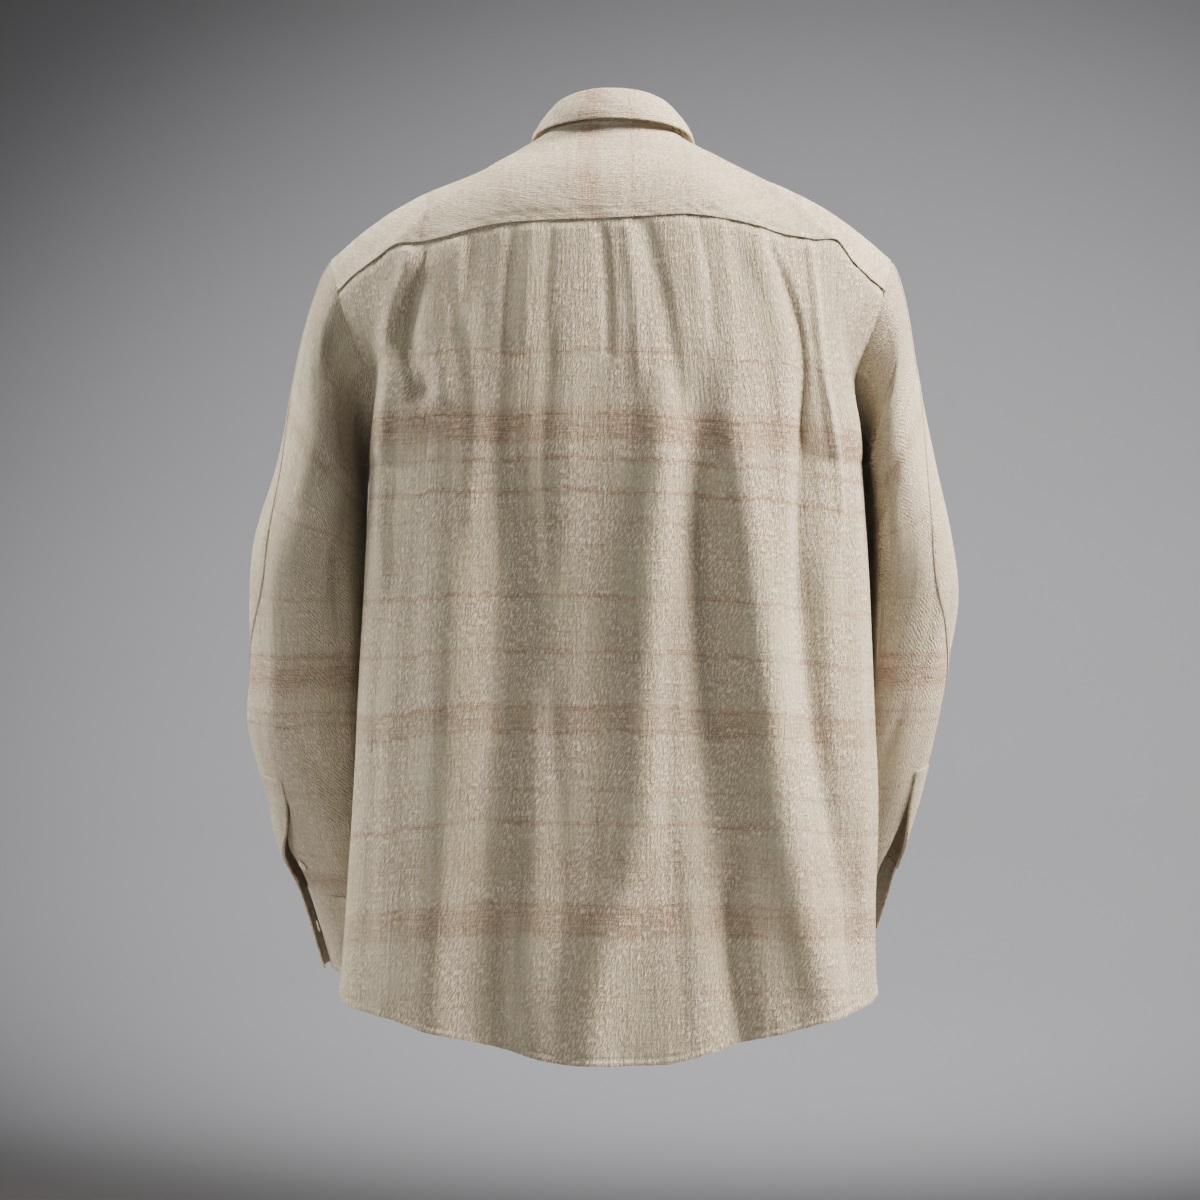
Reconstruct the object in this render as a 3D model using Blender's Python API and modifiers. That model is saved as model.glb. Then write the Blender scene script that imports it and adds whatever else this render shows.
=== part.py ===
"""Long-sleeved button-up shirt, hollow in its worn shape. Millimetres inside, metres out.

Origin: middle of the neck, level with the shoulder points. +Z up, front towards -Y, the shirt's left on +X.
"""
import math

import bmesh
import bpy
import numpy as np
from mathutils import Matrix, Vector

MM = 0.001

# Cloth and trim
WALL = 1.5
DOUBLE_WALL = 1.9
HALF_GAP = 0.2
UNDER_GAP = 0.35
ARMHOLE_TOP_GAP = 0.8
ARMHOLE_UNDER_GAP = 1.9
YOKE_SEAM_GAP = 0.27
YOKE_CORNER_GAP = 0.5
LAY_GAP = 0.35

# Grid steps
BACK_COLUMNS = 41
BODY_ROWS = 13
CHEST_ROWS = 10
YOKE_ROWS = 8
SHOULDER_STEPS = 4
SLEEVE_ROWS = 18
CUFF_ROWS = 3

# Body: height, left half width, right half width, depth of the widest line, back depth, front depth
CHEST_Z = -265.0
BODY = (
    (-770.0, 225.0, 217.0, 31.0, 141.0, -130.0),
    (-692.0, 222.0, 216.5, 32.0, 140.0, -129.0),
    (-622.0, 217.0, 216.0, 33.0, 138.0, -127.0),
    (-541.0, 212.0, 217.0, 34.0, 136.0, -126.0),
    (-458.0, 208.0, 214.5, 35.0, 135.0, -127.0),
    (-344.0, 202.0, 210.5, 35.0, 137.0, -129.0),
    (-265.0, 197.5, 205.5, 35.0, 139.0, -126.0),
)
BACK_SQUARE = 0.80
FRONT_SQUARE = 0.93
SIDE_SEAM_ANGLE = 104.0

# Hem height from the centre (0) to the side seam (1)
HEM_BACK = (
    (0.00, -745.5), (0.14, -743.5), (0.23, -737.0), (0.33, -728.5), (0.42, -722.5),
    (0.54, -713.0), (0.72, -703.5), (0.86, -694.0), (0.95, -681.0), (1.00, -673.0),
)
HEM_FRONT = (
    (0.00, -733.0), (0.25, -730.0), (0.50, -719.0), (0.72, -703.0), (0.88, -684.0), (1.00, -673.0),
)

# Armhole on the left, from the underarm up the back, over the shoulder and down the front
ARMHOLE = (
    (-0.06, 190.0, -36.0, -261.0),
    (0.00, 190.0, -6.0, -265.0),
    (0.06, 191.0, 18.0, -250.0),
    (0.13, 193.0, 36.0, -224.0),
    (0.20, 195.5, 45.0, -198.0),
    (0.26, 202.0, 52.0, -180.0),
    (0.32, 213.0, 55.0, -157.0),
    (0.40, 223.5, 47.0, -124.0),
    (0.46, 229.5, 26.0, -104.0),
    (0.52, 232.0, 0.0, -95.0),
    (0.58, 229.5, -26.0, -99.0),
    (0.65, 222.0, -50.0, -114.0),
    (0.73, 208.0, -74.0, -144.0),
    (0.81, 197.0, -86.0, -182.0),
    (0.89, 191.5, -78.0, -224.0),
    (0.95, 190.0, -46.0, -252.0),
    (1.00, 190.0, -6.0, -265.0),
    (1.06, 191.0, 18.0, -250.0),
)
RIGHT_UNDERARM_WIDER = 8.5
BACK_CORNER = 0.40
FRONT_CORNER = 0.65

# Seam of yoke and back: across, height
YOKE_SEAM = (
    (-223.5, -124.0), (-211.7, -114.5), (-197.0, -101.0), (-188.0, -89.0), (-163.6, -85.4),
    (-138.9, -82.3), (-118.4, -76.8), (-92.5, -71.5), (-56.4, -68.4), (-35.6, -69.7),
    (9.1, -72.2), (57.0, -73.4), (87.5, -75.3), (109.3, -78.7), (133.7, -84.6),
    (152.5, -88.0), (176.6, -90.0), (189.1, -98.7), (208.6, -111.4), (223.5, -124.0),
)
SEAM_BACK_DEPTH = 118.0
SEAM_CORNER_DEPTH = 47.0
SEAM_HALF_WIDTH = 223.5
SEAM_DEPTH_POWER = 2.2

# Neck ring: turn from the back (0) by the side (90) to the front (180), across, depth, height
NECK = (
    (-60.0, -53.0, 36.0, 7.5),
    (0.0, 0.0, 62.0, 10.5),
    (45.0, 43.0, 45.0, 8.5),
    (90.0, 60.5, 0.0, -0.5),
    (135.0, 43.0, -45.0, -26.0),
    (180.0, 0.0, -62.0, -43.0),
    (225.0, -43.0, -45.0, -26.0),
)
NECK_FRONT_TURN = 122.0
NECK_LAP_TURN = 194.96
FRONT_NECK_TURNS = (194.96, 180.0, 165.04, 150.0, 136.0, 122.0)
SIDE_NECK_TURNS = (108.0, 96.0, 84.0, 72.0, 60.0, 48.0, 36.0, 24.0, 12.0, 0.0)
NECK_CORNER_TURN = 72.0

# Deep folds of the back: name, push out (+) or in (-), half width, then height and place across
BACK_FOLDS = (
    ("right trough", -11.0, 19.0, (
        (-725.0, -102.0), (-614.0, -90.0), (-495.0, -79.6), (-345.0, -71.7), (-163.0, -62.0))),
    ("right crest", 9.0, 19.0, (
        (-696.0, -172.0), (-615.0, -150.0), (-496.0, -130.0), (-345.0, -111.5), (-218.0, -98.0))),
    ("right pleat", -10.0, 13.0, (
        (-617.0, -193.0), (-537.0, -175.0), (-456.0, -162.0), (-345.0, -152.6), (-189.0, -153.0),
        (-148.0, -147.0), (-99.0, -125.0))),
    ("middle crest", 6.5, 24.0, (
        (-733.0, 17.0), (-654.0, 5.0), (-575.0, -20.0), (-456.0, -26.0), (-345.0, -30.5),
        (-218.0, -48.0), (-139.0, -50.0))),
    ("left trough", -8.0, 22.0, (
        (-731.0, 92.0), (-694.0, 98.0), (-575.0, 92.0), (-456.0, 84.4), (-377.0, 82.0), (-218.0, 88.0))),
    ("left crest", 5.0, 22.0, (
        (-695.0, 145.0), (-536.0, 136.0), (-416.0, 131.0), (-257.0, 131.0))),
    ("left pleat", -9.0, 11.0, (
        (-205.0, 152.0), (-185.0, 160.0), (-167.0, 165.0), (-139.0, 163.5), (-106.0, 154.0))),
)
# How strongly each fold shows down its length: place on its path (0 low, 1 high), share
FOLD_FADE = ((0.0, 0.9), (0.3, 1.0), (0.8, 0.9), (1.0, 0.0))
# Folds that start under this height run out through the hem, the others fade in over this share
FOLD_HEM_HEIGHT = -680.0
FOLD_LOW_FADE = 0.25
# Share of the back's half width over which folds fade at the side seam, and their fade-in at the yoke
BACK_SIDE_FADE = 0.22
BACK_TOP_FADE = 5.0
FRONT_FOLDS = (
    ("left front trough", -5.0, 22.0, ((-700.0, 92.0), (-560.0, 84.0), (-400.0, 80.0), (-200.0, 96.0))),
    ("left front crest", 4.5, 22.0, ((-690.0, 134.0), (-520.0, 126.0), (-300.0, 122.0), (-190.0, 130.0))),
    ("right front trough", -5.0, 20.0, ((-715.0, -78.0), (-540.0, -76.0), (-380.0, -84.0), (-220.0, -98.0))),
    ("right front crest", 4.5, 24.0, ((-700.0, -122.0), (-520.0, -118.0), (-300.0, -126.0), (-180.0, -132.0))),
)

# Folds of the fronts stay clear of the band and fade at the side and at the top
FRONT_CENTRE_CLEAR = 25.0
FRONT_CENTRE_FADE = 40.0
FRONT_SIDE_FADE = 0.2
FRONT_TOP_FADE = 2.0

# Front overlap
OVERLAP = 16.0
OVERLAP_TURNS = (190.0, 170.0)
OVERLAP_LIFT = 1.3
OVERLAP_FADE = 42.0
BUTTON_HEIGHTS = (-102.0, -187.0, -272.0, -357.0, -442.0, -527.0, -612.0)

# How the panels rise from the chest to the seams above it
CHEST_RISE = (0.0, 0.0, 190.0)
BACK_LEAN = (0.0, -38.0, 160.0)
FRONT_LEAN_MIDDLE = 105.0
FRONT_LEAN_SIDE = 70.0
FRONT_LEAN_UP = 140.0
CHEST_PULL_REACH = 0.3
CHEST_FADE = 2.2
EDGE_REACH = 0.62
LEAST_SLANT = 0.35

# Swell of the yoke and the shoulder seam between their ends
SWELL_SKEW = 1.5
FRONT_SEAM_SWELL = (0.0, -2.0, 12.0)
YOKE_CORNER_FROM = 0.5
YOKE_CORNER_REACH = 0.4
SHOULDER_SWELL = 2.5
FRONT_CORNER_SWELL = 3.0
FRONT_CORNER_DIP = 2.0
YOKE_SWELL = 9.0
YOKE_BACK_SWELL = 5.0
YOKE_CORNER_SWELL = 4.0
BAND_STEPS = 2
BODY_MIDDLE = np.array([0.0, 0.0, -400.0])

# Sleeves: place down the sleeve, height of the middle, outer edge, half width, middle depth,
# half depth, tilt of the section, turn of the outer seam, rise of the outer edge over the middle
SLEEVE_START = 0.20
LEFT_SLEEVE = (
    (0.20, -241.0, 263.0, 29.5, -10.0, 80.0, 4.0, 10.0, 50.0),
    (0.28, -291.0, 278.0, 36.5, -22.0, 84.0, 3.0, 30.0, 30.0),
    (0.36, -337.0, 298.5, 48.0, -34.0, 83.0, 2.0, 45.0, 12.0),
    (0.44, -380.0, 303.5, 53.0, -42.0, 80.0, 0.0, 38.0, 3.0),
    (0.52, -430.0, 303.0, 55.0, -50.0, 75.0, 0.0, 4.0, 0.0),
    (0.60, -478.0, 306.0, 57.0, -60.0, 70.0, 3.0, -12.0, 0.0),
    (0.70, -535.0, 294.0, 53.0, -80.0, 62.0, 8.0, -22.0, 0.0),
    (0.80, -582.0, 281.0, 48.0, -102.0, 54.0, 11.0, -28.0, 0.0),
    (0.88, -620.5, 265.0, 43.0, -122.0, 46.0, 11.0, -30.0, 0.0),
    (1.00, -694.0, 245.5, 40.0, -141.0, 43.0, 6.0, -30.0, 0.0),
)
RIGHT_SLEEVE = (
    (0.20, -237.0, 254.0, 24.0, -12.0, 80.0, 4.0, 10.0, 50.0),
    (0.28, -287.0, 269.5, 29.0, -24.0, 84.0, 3.0, 48.0, 30.0),
    (0.36, -334.0, 285.0, 38.0, -36.0, 83.0, 2.0, 62.0, 12.0),
    (0.44, -377.0, 292.0, 46.0, -46.0, 79.0, 0.0, 56.0, 3.0),
    (0.52, -426.0, 285.0, 50.0, -57.0, 74.0, 2.0, 20.0, 0.0),
    (0.60, -472.0, 278.0, 51.0, -70.0, 68.0, 7.0, -8.0, 0.0),
    (0.70, -524.0, 268.0, 49.0, -94.0, 60.0, 14.0, -20.0, 0.0),
    (0.80, -571.0, 255.0, 45.0, -119.0, 52.0, 19.0, -27.0, 0.0),
    (0.88, -607.0, 245.0, 42.0, -139.0, 46.0, 20.0, -30.0, 0.0),
    (1.00, -668.0, 231.5, 41.0, -169.0, 43.0, 18.0, -30.0, 0.0),
)
UNDER_SEAM_TURN = 196.0
CUFF_START = 0.88
SLIT_START = 0.70
BODY_CLEARANCE = 7.0

# Slit edges: place down the sleeve, turn of the over edge, turn of the under edge,
# swell of the over edge, sink of the under edge
LEFT_SLIT = (
    (0.70, 54.0, 54.0, 1.00, 1.00),
    (0.725, 52.5, 53.5, 1.03, 0.98),
    (0.75, 50.0, 46.0, 1.06, 0.96),
    (0.80, 34.0, 24.0, 1.10, 0.93),
    (0.84, 16.0, 4.0, 1.12, 0.91),
    (0.88, 8.0, -5.0, 1.12, 0.90),
    (0.94, 10.0, -5.0, 1.11, 0.89),
    (1.00, 16.0, 2.0, 1.09, 0.89),
)
RIGHT_SLIT = (
    (0.70, 44.0, 44.0, 1.00, 1.00),
    (0.75, 39.0, 43.0, 1.03, 0.98),
    (0.80, 28.0, 48.0, 1.05, 0.97),
    (0.84, 14.0, 54.0, 1.07, 0.97),
    (0.88, 2.0, 55.0, 1.08, 0.97),
    (0.94, -4.0, 53.0, 1.09, 0.97),
    (1.00, -9.0, 50.0, 1.08, 0.97),
)
SLIT_REACH = 80.0
SLIT_FADE = 0.28
BACK_TURN = 90.0
UNDER_TURN = -120.0
CLEAR_SOFT = 6.0
PULL_STEP = 0.03
SLEEVE_BACK_LEAN = 0.1
# Share by which each sleeve's back bulges towards the body
SLEEVE_SQUARE = {1: 0.03, -1: 0.14}
SQUARE_FROM = 90.0
SQUARE_TO = 190.0
SQUARE_FADE = 40.0
SQUARE_RISE = 0.12
SQUARE_RUN_OUT = 0.20

# Which part of the armhole each turn of the sleeve meets
ARM_TURNS = (
    (0.00, 196.0), (0.06, 176.0), (0.13, 156.0), (0.20, 136.0), (0.26, 118.0), (0.32, 100.0),
    (0.40, 76.0), (0.46, 44.0), (0.52, 4.0), (0.58, -34.0), (0.65, -66.0), (0.73, -92.0),
    (0.81, -114.0), (0.89, -134.0), (0.95, -150.0), (1.00, -164.0),
)
SLEEVES = {1: LEFT_SLEEVE, -1: RIGHT_SLEEVE}
SLITS = {1: LEFT_SLIT, -1: RIGHT_SLIT}
OVER_COLUMNS = 6
UNDER_COLUMNS = 10
FRONT_HALF_COLUMNS = 10
CUFF_COLUMNS = 22
SLIT_ROWS = 6
GAUNTLET_TOP_CUT = 19.0
GAUNTLET_BUTTON_ROW = 4.2
GAUNTLET_BUTTON_COLUMN = 1.5

# Collar: turn, then across, depth and height of the fold and of the leaf's edge
COLLAR_FOLD = (
    (-30.0, -27.0, 52.0, 36.5),
    (0.0, 0.0, 57.5, 39.0),
    (45.0, 38.0, 41.0, 33.5),
    (80.0, 52.5, 8.0, 23.5),
    (100.0, 53.0, -9.0, 17.0),
    (135.0, 39.5, -39.0, 0.0),
    (172.0, 7.5, -54.5, -15.5),
    (188.0, -7.5, -54.5, -15.5),
    (200.0, -18.5, -52.0, -14.0),
)
COLLAR_EDGE = (
    (-30.0, -34.0, 64.5, 12.5),
    (0.0, 0.0, 71.5, 14.0),
    (45.0, 46.5, 53.0, 10.5),
    (80.0, 63.5, 12.0, 5.0),
    (100.0, 66.5, -12.0, -2.0),
    (135.0, 62.0, -52.0, -28.0),
    (172.0, 46.0, -95.0, -72.0),
)
RIGHT_COLLAR_SPREAD = 1.045
STAND_TOP_INSET = 3.2
STAND_TOP_DROP = 2.0
STAND_ROWS = 3
LEAF_ROWS = 4
LEAF_END_TURN = 167.0
LEAF_SWELL = 2.0
LEAF_SEAM_GAP = 1.9
STAND_LAP_LIFT = 2.0
STAND_LAP_TURN = 138.0
STAND_LAP_REACH = 26.0
LEAF_LAP_SHARE = 0.6
LEAF_CROWN = 1.0
LEAF_CLEAR = 0.3
NECK_RISE = 1.2

# Buttons
BUTTON_RADIUS = 5.2
BUTTON_THICK = 2.2
BUTTON_SIDES = 12
# Section from the middle of the underside over the rim: inset from the edge, share of the thickness
BUTTON_SECTION = (
    (5.2, -0.5), (0.7, -0.5), (0.0, 0.0), (0.6, 0.5), (1.5, 0.5), (2.2, 0.18), (5.2, 0.18),
)
BAND_EDGE_TRIM = 0.3
BAND_TOP_TRIM = 0.6
GAUNTLET_EDGE_TRIM = 0.2
GAUNTLET_END_TRIM = 1.0
GAUNTLET_COLUMNS = 3
CUFF_BUTTON_COLUMN = 2.1

# Colours (linear)
ECRU = (0.56, 0.50, 0.40, 1.0)
WARM_ECRU = (0.52, 0.43, 0.33, 1.0)
HORN = (0.62, 0.58, 0.49, 1.0)


def clear_scene():
    for item in list(bpy.data.objects):
        bpy.data.objects.remove(item, do_unlink=True)


def spline(rows, at):
    """Smooth curve through a table's rows, read at values of its first column."""
    data = np.asarray(rows, dtype=float)
    key, value = data[:, 0], data[:, 1:]
    gap = np.diff(key)
    slope = np.diff(value, axis=0) / gap[:, None]
    tangent = np.empty_like(value)
    tangent[0], tangent[-1] = slope[0], slope[-1]
    near, far = gap[:-1, None], gap[1:, None]
    tangent[1:-1] = (slope[:-1] * far + slope[1:] * near) / (near + far)
    at = np.clip(np.asarray(at, dtype=float), key[0], key[-1])
    i = np.clip(np.searchsorted(key, at, side="right") - 1, 0, len(key) - 2)
    t = ((at - key[i]) / gap[i])[..., None]
    h = gap[i][..., None]
    start = (2 * t ** 3 - 3 * t ** 2 + 1) * value[i] + (t ** 3 - 2 * t ** 2 + t) * h * tangent[i]
    end = (3 * t ** 2 - 2 * t ** 3) * value[i + 1] + (t ** 3 - t ** 2) * h * tangent[i + 1]
    return start + end


def ease(t):
    t = np.clip(t, 0.0, 1.0)
    return t * t * (3.0 - 2.0 * t)


def evenly(curve, shares):
    """Points of a curve at shares of its length."""
    curve = np.asarray(curve, dtype=float)
    step = np.linalg.norm(np.diff(curve, axis=0), axis=1)
    along = np.concatenate(([0.0], np.cumsum(step)))
    along /= along[-1]
    return np.stack([np.interp(shares, along, curve[:, k]) for k in range(curve.shape[1])], axis=-1)


def sway(start, end, start_pull, end_pull, t):
    """Cubic from start to end leaving and arriving along the two pulls."""
    t = np.asarray(t)[..., None]
    return (
        (2 * t ** 3 - 3 * t ** 2 + 1) * start
        + (t ** 3 - 2 * t ** 2 + t) * start_pull
        + (3 * t ** 2 - 2 * t ** 3) * end
        + (t ** 3 - t ** 2) * end_pull
    )


def body_ring(height, turn):
    """Point of the body at a height and a turn from the centre back, positive to the left."""
    row = spline(BODY, height)
    turn = np.radians(turn)
    s, c = np.sin(turn), np.cos(turn)
    half = np.where(s >= 0.0, row[..., 0], row[..., 1])
    middle, back, front = row[..., 2], row[..., 3], row[..., 4]
    square = np.where(c >= 0.0, BACK_SQUARE, FRONT_SQUARE)
    across = half * np.sign(s) * np.abs(s) ** square
    depth = np.where(c >= 0.0, back - middle, middle - front) * np.sign(c) * np.abs(c) ** square
    return np.stack([across, middle + depth, np.broadcast_to(height, across.shape)], axis=-1)


def side_width(height, depth, side):
    """Half width of the body at a height and depth, in front of its widest line."""
    row = spline(BODY, height)
    half = row[..., 0] if side > 0 else row[..., 1]
    middle, back, front = row[..., 2], row[..., 3], row[..., 4]
    reach = np.where(depth >= middle, back - middle, middle - front)
    square = np.where(depth >= middle, BACK_SQUARE, FRONT_SQUARE)
    share = np.clip(np.abs(depth - middle) / reach, 0.0, 1.0)
    return half * (1.0 - share ** (2.0 / square)) ** (square / 2.0)


def armhole(t, side):
    """Armhole seam on one side; the right one sits a little wider low down."""
    point = spline(ARMHOLE, t)
    if side < 0:
        wide = RIGHT_UNDERARM_WIDER * ease((-point[..., 2] - 150.0) / 100.0)
        point = point + np.stack([wide, wide * 0.0, wide * 0.0], axis=-1)
    return point * np.array([side, 1.0, 1.0])


def yoke_seam(across):
    across = np.clip(across, -SEAM_HALF_WIDTH, SEAM_HALF_WIDTH)
    height = spline(YOKE_SEAM, across)[..., 0]
    share = np.abs(across) / SEAM_HALF_WIDTH
    depth = SEAM_CORNER_DEPTH + (SEAM_BACK_DEPTH - SEAM_CORNER_DEPTH) * (1.0 - share ** SEAM_DEPTH_POWER)
    return np.stack([across, depth, height], axis=-1)


def fold_push(folds, across, height):
    """Sum of the folds' push at points of a panel."""
    total = np.zeros(np.shape(across))
    for _, push, width, path in folds:
        low, high = path[0][0], path[-1][0]
        line = spline(path, height)[..., 0]
        place = (height - low) / (high - low)
        below = 1.0 if low < FOLD_HEM_HEIGHT else ease(1.0 + place / FOLD_LOW_FADE)
        fade = spline(FOLD_FADE, np.clip(place, 0.0, 1.0))[..., 0] * below
        fade = np.where(place > 1.0, 0.0, fade)
        total = total + push * fade * np.exp(-(((across - line) / width) ** 2))
    return total


def normals(points):
    """Unit normals of a grid of points, turned outwards later by the caller's order."""
    down = np.gradient(points, axis=0)
    along = np.gradient(points, axis=1)
    n = np.cross(along, down)
    return n / np.maximum(np.linalg.norm(n, axis=-1, keepdims=True), 1e-9)


def drawn_back(edge, inner, length):
    """An edge of a grid moved towards the next line, by a length measured square to the edge."""
    step = inner - edge
    step = step / np.maximum(np.linalg.norm(step, axis=-1, keepdims=True), 1e-6)
    tangent = np.gradient(edge, axis=0)
    tangent = tangent / np.maximum(np.linalg.norm(tangent, axis=-1, keepdims=True), 1e-6)
    slant = np.linalg.norm(np.cross(step, tangent), axis=-1)
    return edge + step * (length / np.maximum(slant, LEAST_SLANT))[:, None]


def trim_edges(points, first=0.0, last=0.0, top=0.0, bottom=0.0):
    """Draw a grid's four edges back by the given lengths."""
    points = points.copy()
    points[:, 0] = drawn_back(points[:, 0], points[:, 1], first)
    points[:, -1] = drawn_back(points[:, -1], points[:, -2], last)
    points[0] = drawn_back(points[0], points[1], top)
    points[-1] = drawn_back(points[-1], points[-2], bottom)
    return points


def chest_row(turns, share):
    """Row of the body at underarm height, drawn to the armholes' lowest points."""
    row = body_ring(np.full(np.shape(turns), CHEST_Z), turns)
    for side in (-1.0, 1.0):
        end = body_ring(np.array(CHEST_Z), np.array(side * SIDE_SEAM_ANGLE))
        pull = 1.0 - ease(np.abs(share - side) / CHEST_PULL_REACH)
        row = row + (armhole(0.0, side) - end) * pull[..., None]
    return row


def turns_by_length(first, last, share):
    """Turns of the chest ring at shares of its length between two turns."""
    fine = np.linspace(first, last, 721)
    ring = body_ring(np.full(fine.shape, CHEST_Z), fine)
    length = np.concatenate(([0.0], np.cumsum(np.linalg.norm(np.diff(ring, axis=0), axis=1))))
    return np.interp(share, length / length[-1], fine), length[-1]


def seam_points(share):
    """Points of the yoke seam at shares from the right corner (-1) to the left (1)."""
    line = yoke_seam(np.linspace(-SEAM_HALF_WIDTH, SEAM_HALF_WIDTH, 801))
    return evenly(line, (share + 1.0) / 2.0)


def below_chest(chest, hem, turn, rows):
    """Rows of a panel from the chest down to its hem."""
    down = np.linspace(0.0, 1.0, rows)[:, None]
    height = CHEST_Z + (hem[None] - CHEST_Z) * down
    lower = body_ring(height, np.broadcast_to(turn, height.shape))
    return lower + (chest[None] - lower[:1]) * (1.0 - ease(down * CHEST_FADE))[..., None]


def drawn_to(body, edge, column, distance):
    """Bend a panel so that one of its side columns follows an edge."""
    away = edge - body[:, column]
    pull = (1.0 - ease(distance / EDGE_REACH))[None, :, None]
    return body + away[:, None, :] * pull


def back_panel(share, lower_rows, upper_rows):
    """Grid of the back, from the yoke seam down to the hem, right side to left."""
    turn, _ = turns_by_length(-SIDE_SEAM_ANGLE, SIDE_SEAM_ANGLE, (share + 1.0) / 2.0)
    chest = chest_row(turn, share)
    top = seam_points(share)
    v = np.linspace(0.0, 1.0, upper_rows)
    lean = np.broadcast_to(BACK_LEAN, chest.shape)
    rise = np.array(CHEST_RISE)
    steps = np.broadcast_to(v[:, None], (upper_rows, len(share)))
    body = sway(chest[None], top[None], rise, lean[None], steps)
    seam_t = np.linspace(0.0, BACK_CORNER, 201)
    for side, column in ((-1.0, 0), (1.0, -1)):
        body = drawn_to(body, evenly(armhole(seam_t, side), v), column, np.abs(share - side))
    hem = spline(HEM_BACK, np.abs(share))[..., 0]
    points = np.concatenate([body[::-1], below_chest(chest, hem, turn, lower_rows)[1:]], axis=0)
    side_fade = ease((1.0 - np.abs(share)) / BACK_SIDE_FADE)
    top_fade = np.concatenate([ease(v * BACK_TOP_FADE), np.ones(lower_rows - 1)])
    push = fold_push(BACK_FOLDS, points[..., 0], points[..., 2]) * side_fade[None] * top_fade[:, None]
    return points + outward(points, BODY_MIDDLE) * push[..., None]


def front_seam(r):
    """Seam of yoke and front on the left, from the neck out to the armhole."""
    start = spline(NECK, np.array(NECK_FRONT_TURN))
    end = armhole(np.array(FRONT_CORNER), 1.0)
    r = np.asarray(r)[..., None]
    lift = np.array(FRONT_SEAM_SWELL) * np.sin(math.pi * r ** SWELL_SKEW)
    return start + (end - start) * r + lift


def front_panel(side, neck_turns, seam_shares, lower_rows, upper_rows, lift=0.0):
    """Grid of one front, from the neck and yoke seam down to the hem, overlap edge to side seam."""
    neck = spline(NECK, neck_turns)
    top = np.concatenate([neck, front_seam(seam_shares)[1:]], axis=0) * np.array([side, 1.0, 1.0])
    fine = np.linspace(OVERLAP_TURNS[0], OVERLAP_TURNS[1], 201)
    ring = body_ring(np.full(fine.shape, CHEST_Z), fine * side)
    first = float(np.interp(-OVERLAP, ring[:, 0] * side, fine))
    _, length = turns_by_length(first, SIDE_SEAM_ANGLE, np.array([0.0]))
    bands = OVERLAP * np.arange(BAND_STEPS + 1) / BAND_STEPS * 2.0 / length
    share = np.concatenate([bands, np.linspace(bands[-1], 1.0, len(top) - BAND_STEPS)[1:]])
    turn, _ = turns_by_length(first, SIDE_SEAM_ANGLE, share)
    turn = turn * side
    chest = chest_row(turn, side * (2.0 - share))
    v = np.linspace(0.0, 1.0, upper_rows)
    fore = FRONT_LEAN_MIDDLE + (FRONT_LEAN_SIDE - FRONT_LEAN_MIDDLE) * share
    lean = np.stack([0.0 * share, fore, np.full(share.shape, FRONT_LEAN_UP)], axis=-1)
    rise = np.array(CHEST_RISE)
    steps = np.broadcast_to(v[:, None], (upper_rows, len(share)))
    body = sway(chest[None], top[None], rise, lean[None], steps)
    edge = evenly(armhole(np.linspace(1.0, FRONT_CORNER, 201), side), v)
    body = drawn_to(body, edge, -1, 1.0 - share)
    hem = spline(HEM_FRONT, share)[..., 0]
    points = np.concatenate([body[::-1], below_chest(chest, hem, turn, lower_rows)[1:]], axis=0)
    centre_fade = ease((np.abs(points[..., 0]) - FRONT_CENTRE_CLEAR) / FRONT_CENTRE_FADE)
    side_fade = ease((1.0 - share) / FRONT_SIDE_FADE)[None]
    top_fade = np.concatenate([ease(v * FRONT_TOP_FADE), np.ones(lower_rows - 1)])[:, None]
    push = fold_push(FRONT_FOLDS, points[..., 0], points[..., 2]) * side_fade * centre_fade * top_fade
    push = push + lift * (1.0 - ease((points[..., 0] * side - OVERLAP) / OVERLAP_FADE))
    return points + outward(points, BODY_MIDDLE) * push[..., None]


def yoke_panel(share, shoulder_steps, rows):
    """Grid of the yoke: rays from the neck out, right front seam round the back to left front seam."""
    r = np.linspace(0.0, 1.0, rows)
    seam = seam_points(share)
    rays = []
    for q, outer in zip(share, seam):
        side = 1.0 if q >= 0.0 else -1.0
        corner = float(ease((abs(q) - YOKE_CORNER_FROM) / YOKE_CORNER_REACH))
        back_swell = YOKE_BACK_SWELL + YOKE_CORNER_SWELL * corner
        rays.append(yoke_ray(side, NECK_CORNER_TURN * abs(q), outer, r, back_swell, YOKE_SWELL))
    ends = {1.0: [], -1.0: []}
    for side in (1.0, -1.0):
        for step in range(1, shoulder_steps + 1):
            over = step / shoulder_steps
            outer = armhole(np.array(BACK_CORNER + (FRONT_CORNER - BACK_CORNER) * over), side)
            turn = NECK_CORNER_TURN + (NECK_FRONT_TURN - NECK_CORNER_TURN) * over
            swell = YOKE_SWELL + SHOULDER_SWELL * math.sin(math.pi * over) + FRONT_CORNER_SWELL * over
            turn_back = YOKE_BACK_SWELL + YOKE_CORNER_SWELL
            turn_back = turn_back - (turn_back + FRONT_CORNER_DIP) * over
            ends[side].append(yoke_ray(side, turn, outer, r, turn_back, swell))
    rays = ends[-1.0][::-1] + rays + ends[1.0]
    return np.stack(rays, axis=1)


def yoke_ray(side, turn, outer, r, back_swell, swell):
    inner = spline(NECK, np.array(turn)) * np.array([side, 1.0, 1.0])
    lift = np.array([0.0, back_swell, swell])
    return inner + (outer - inner) * r[:, None] + lift * np.sin(math.pi * r[:, None] ** SWELL_SKEW)


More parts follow.
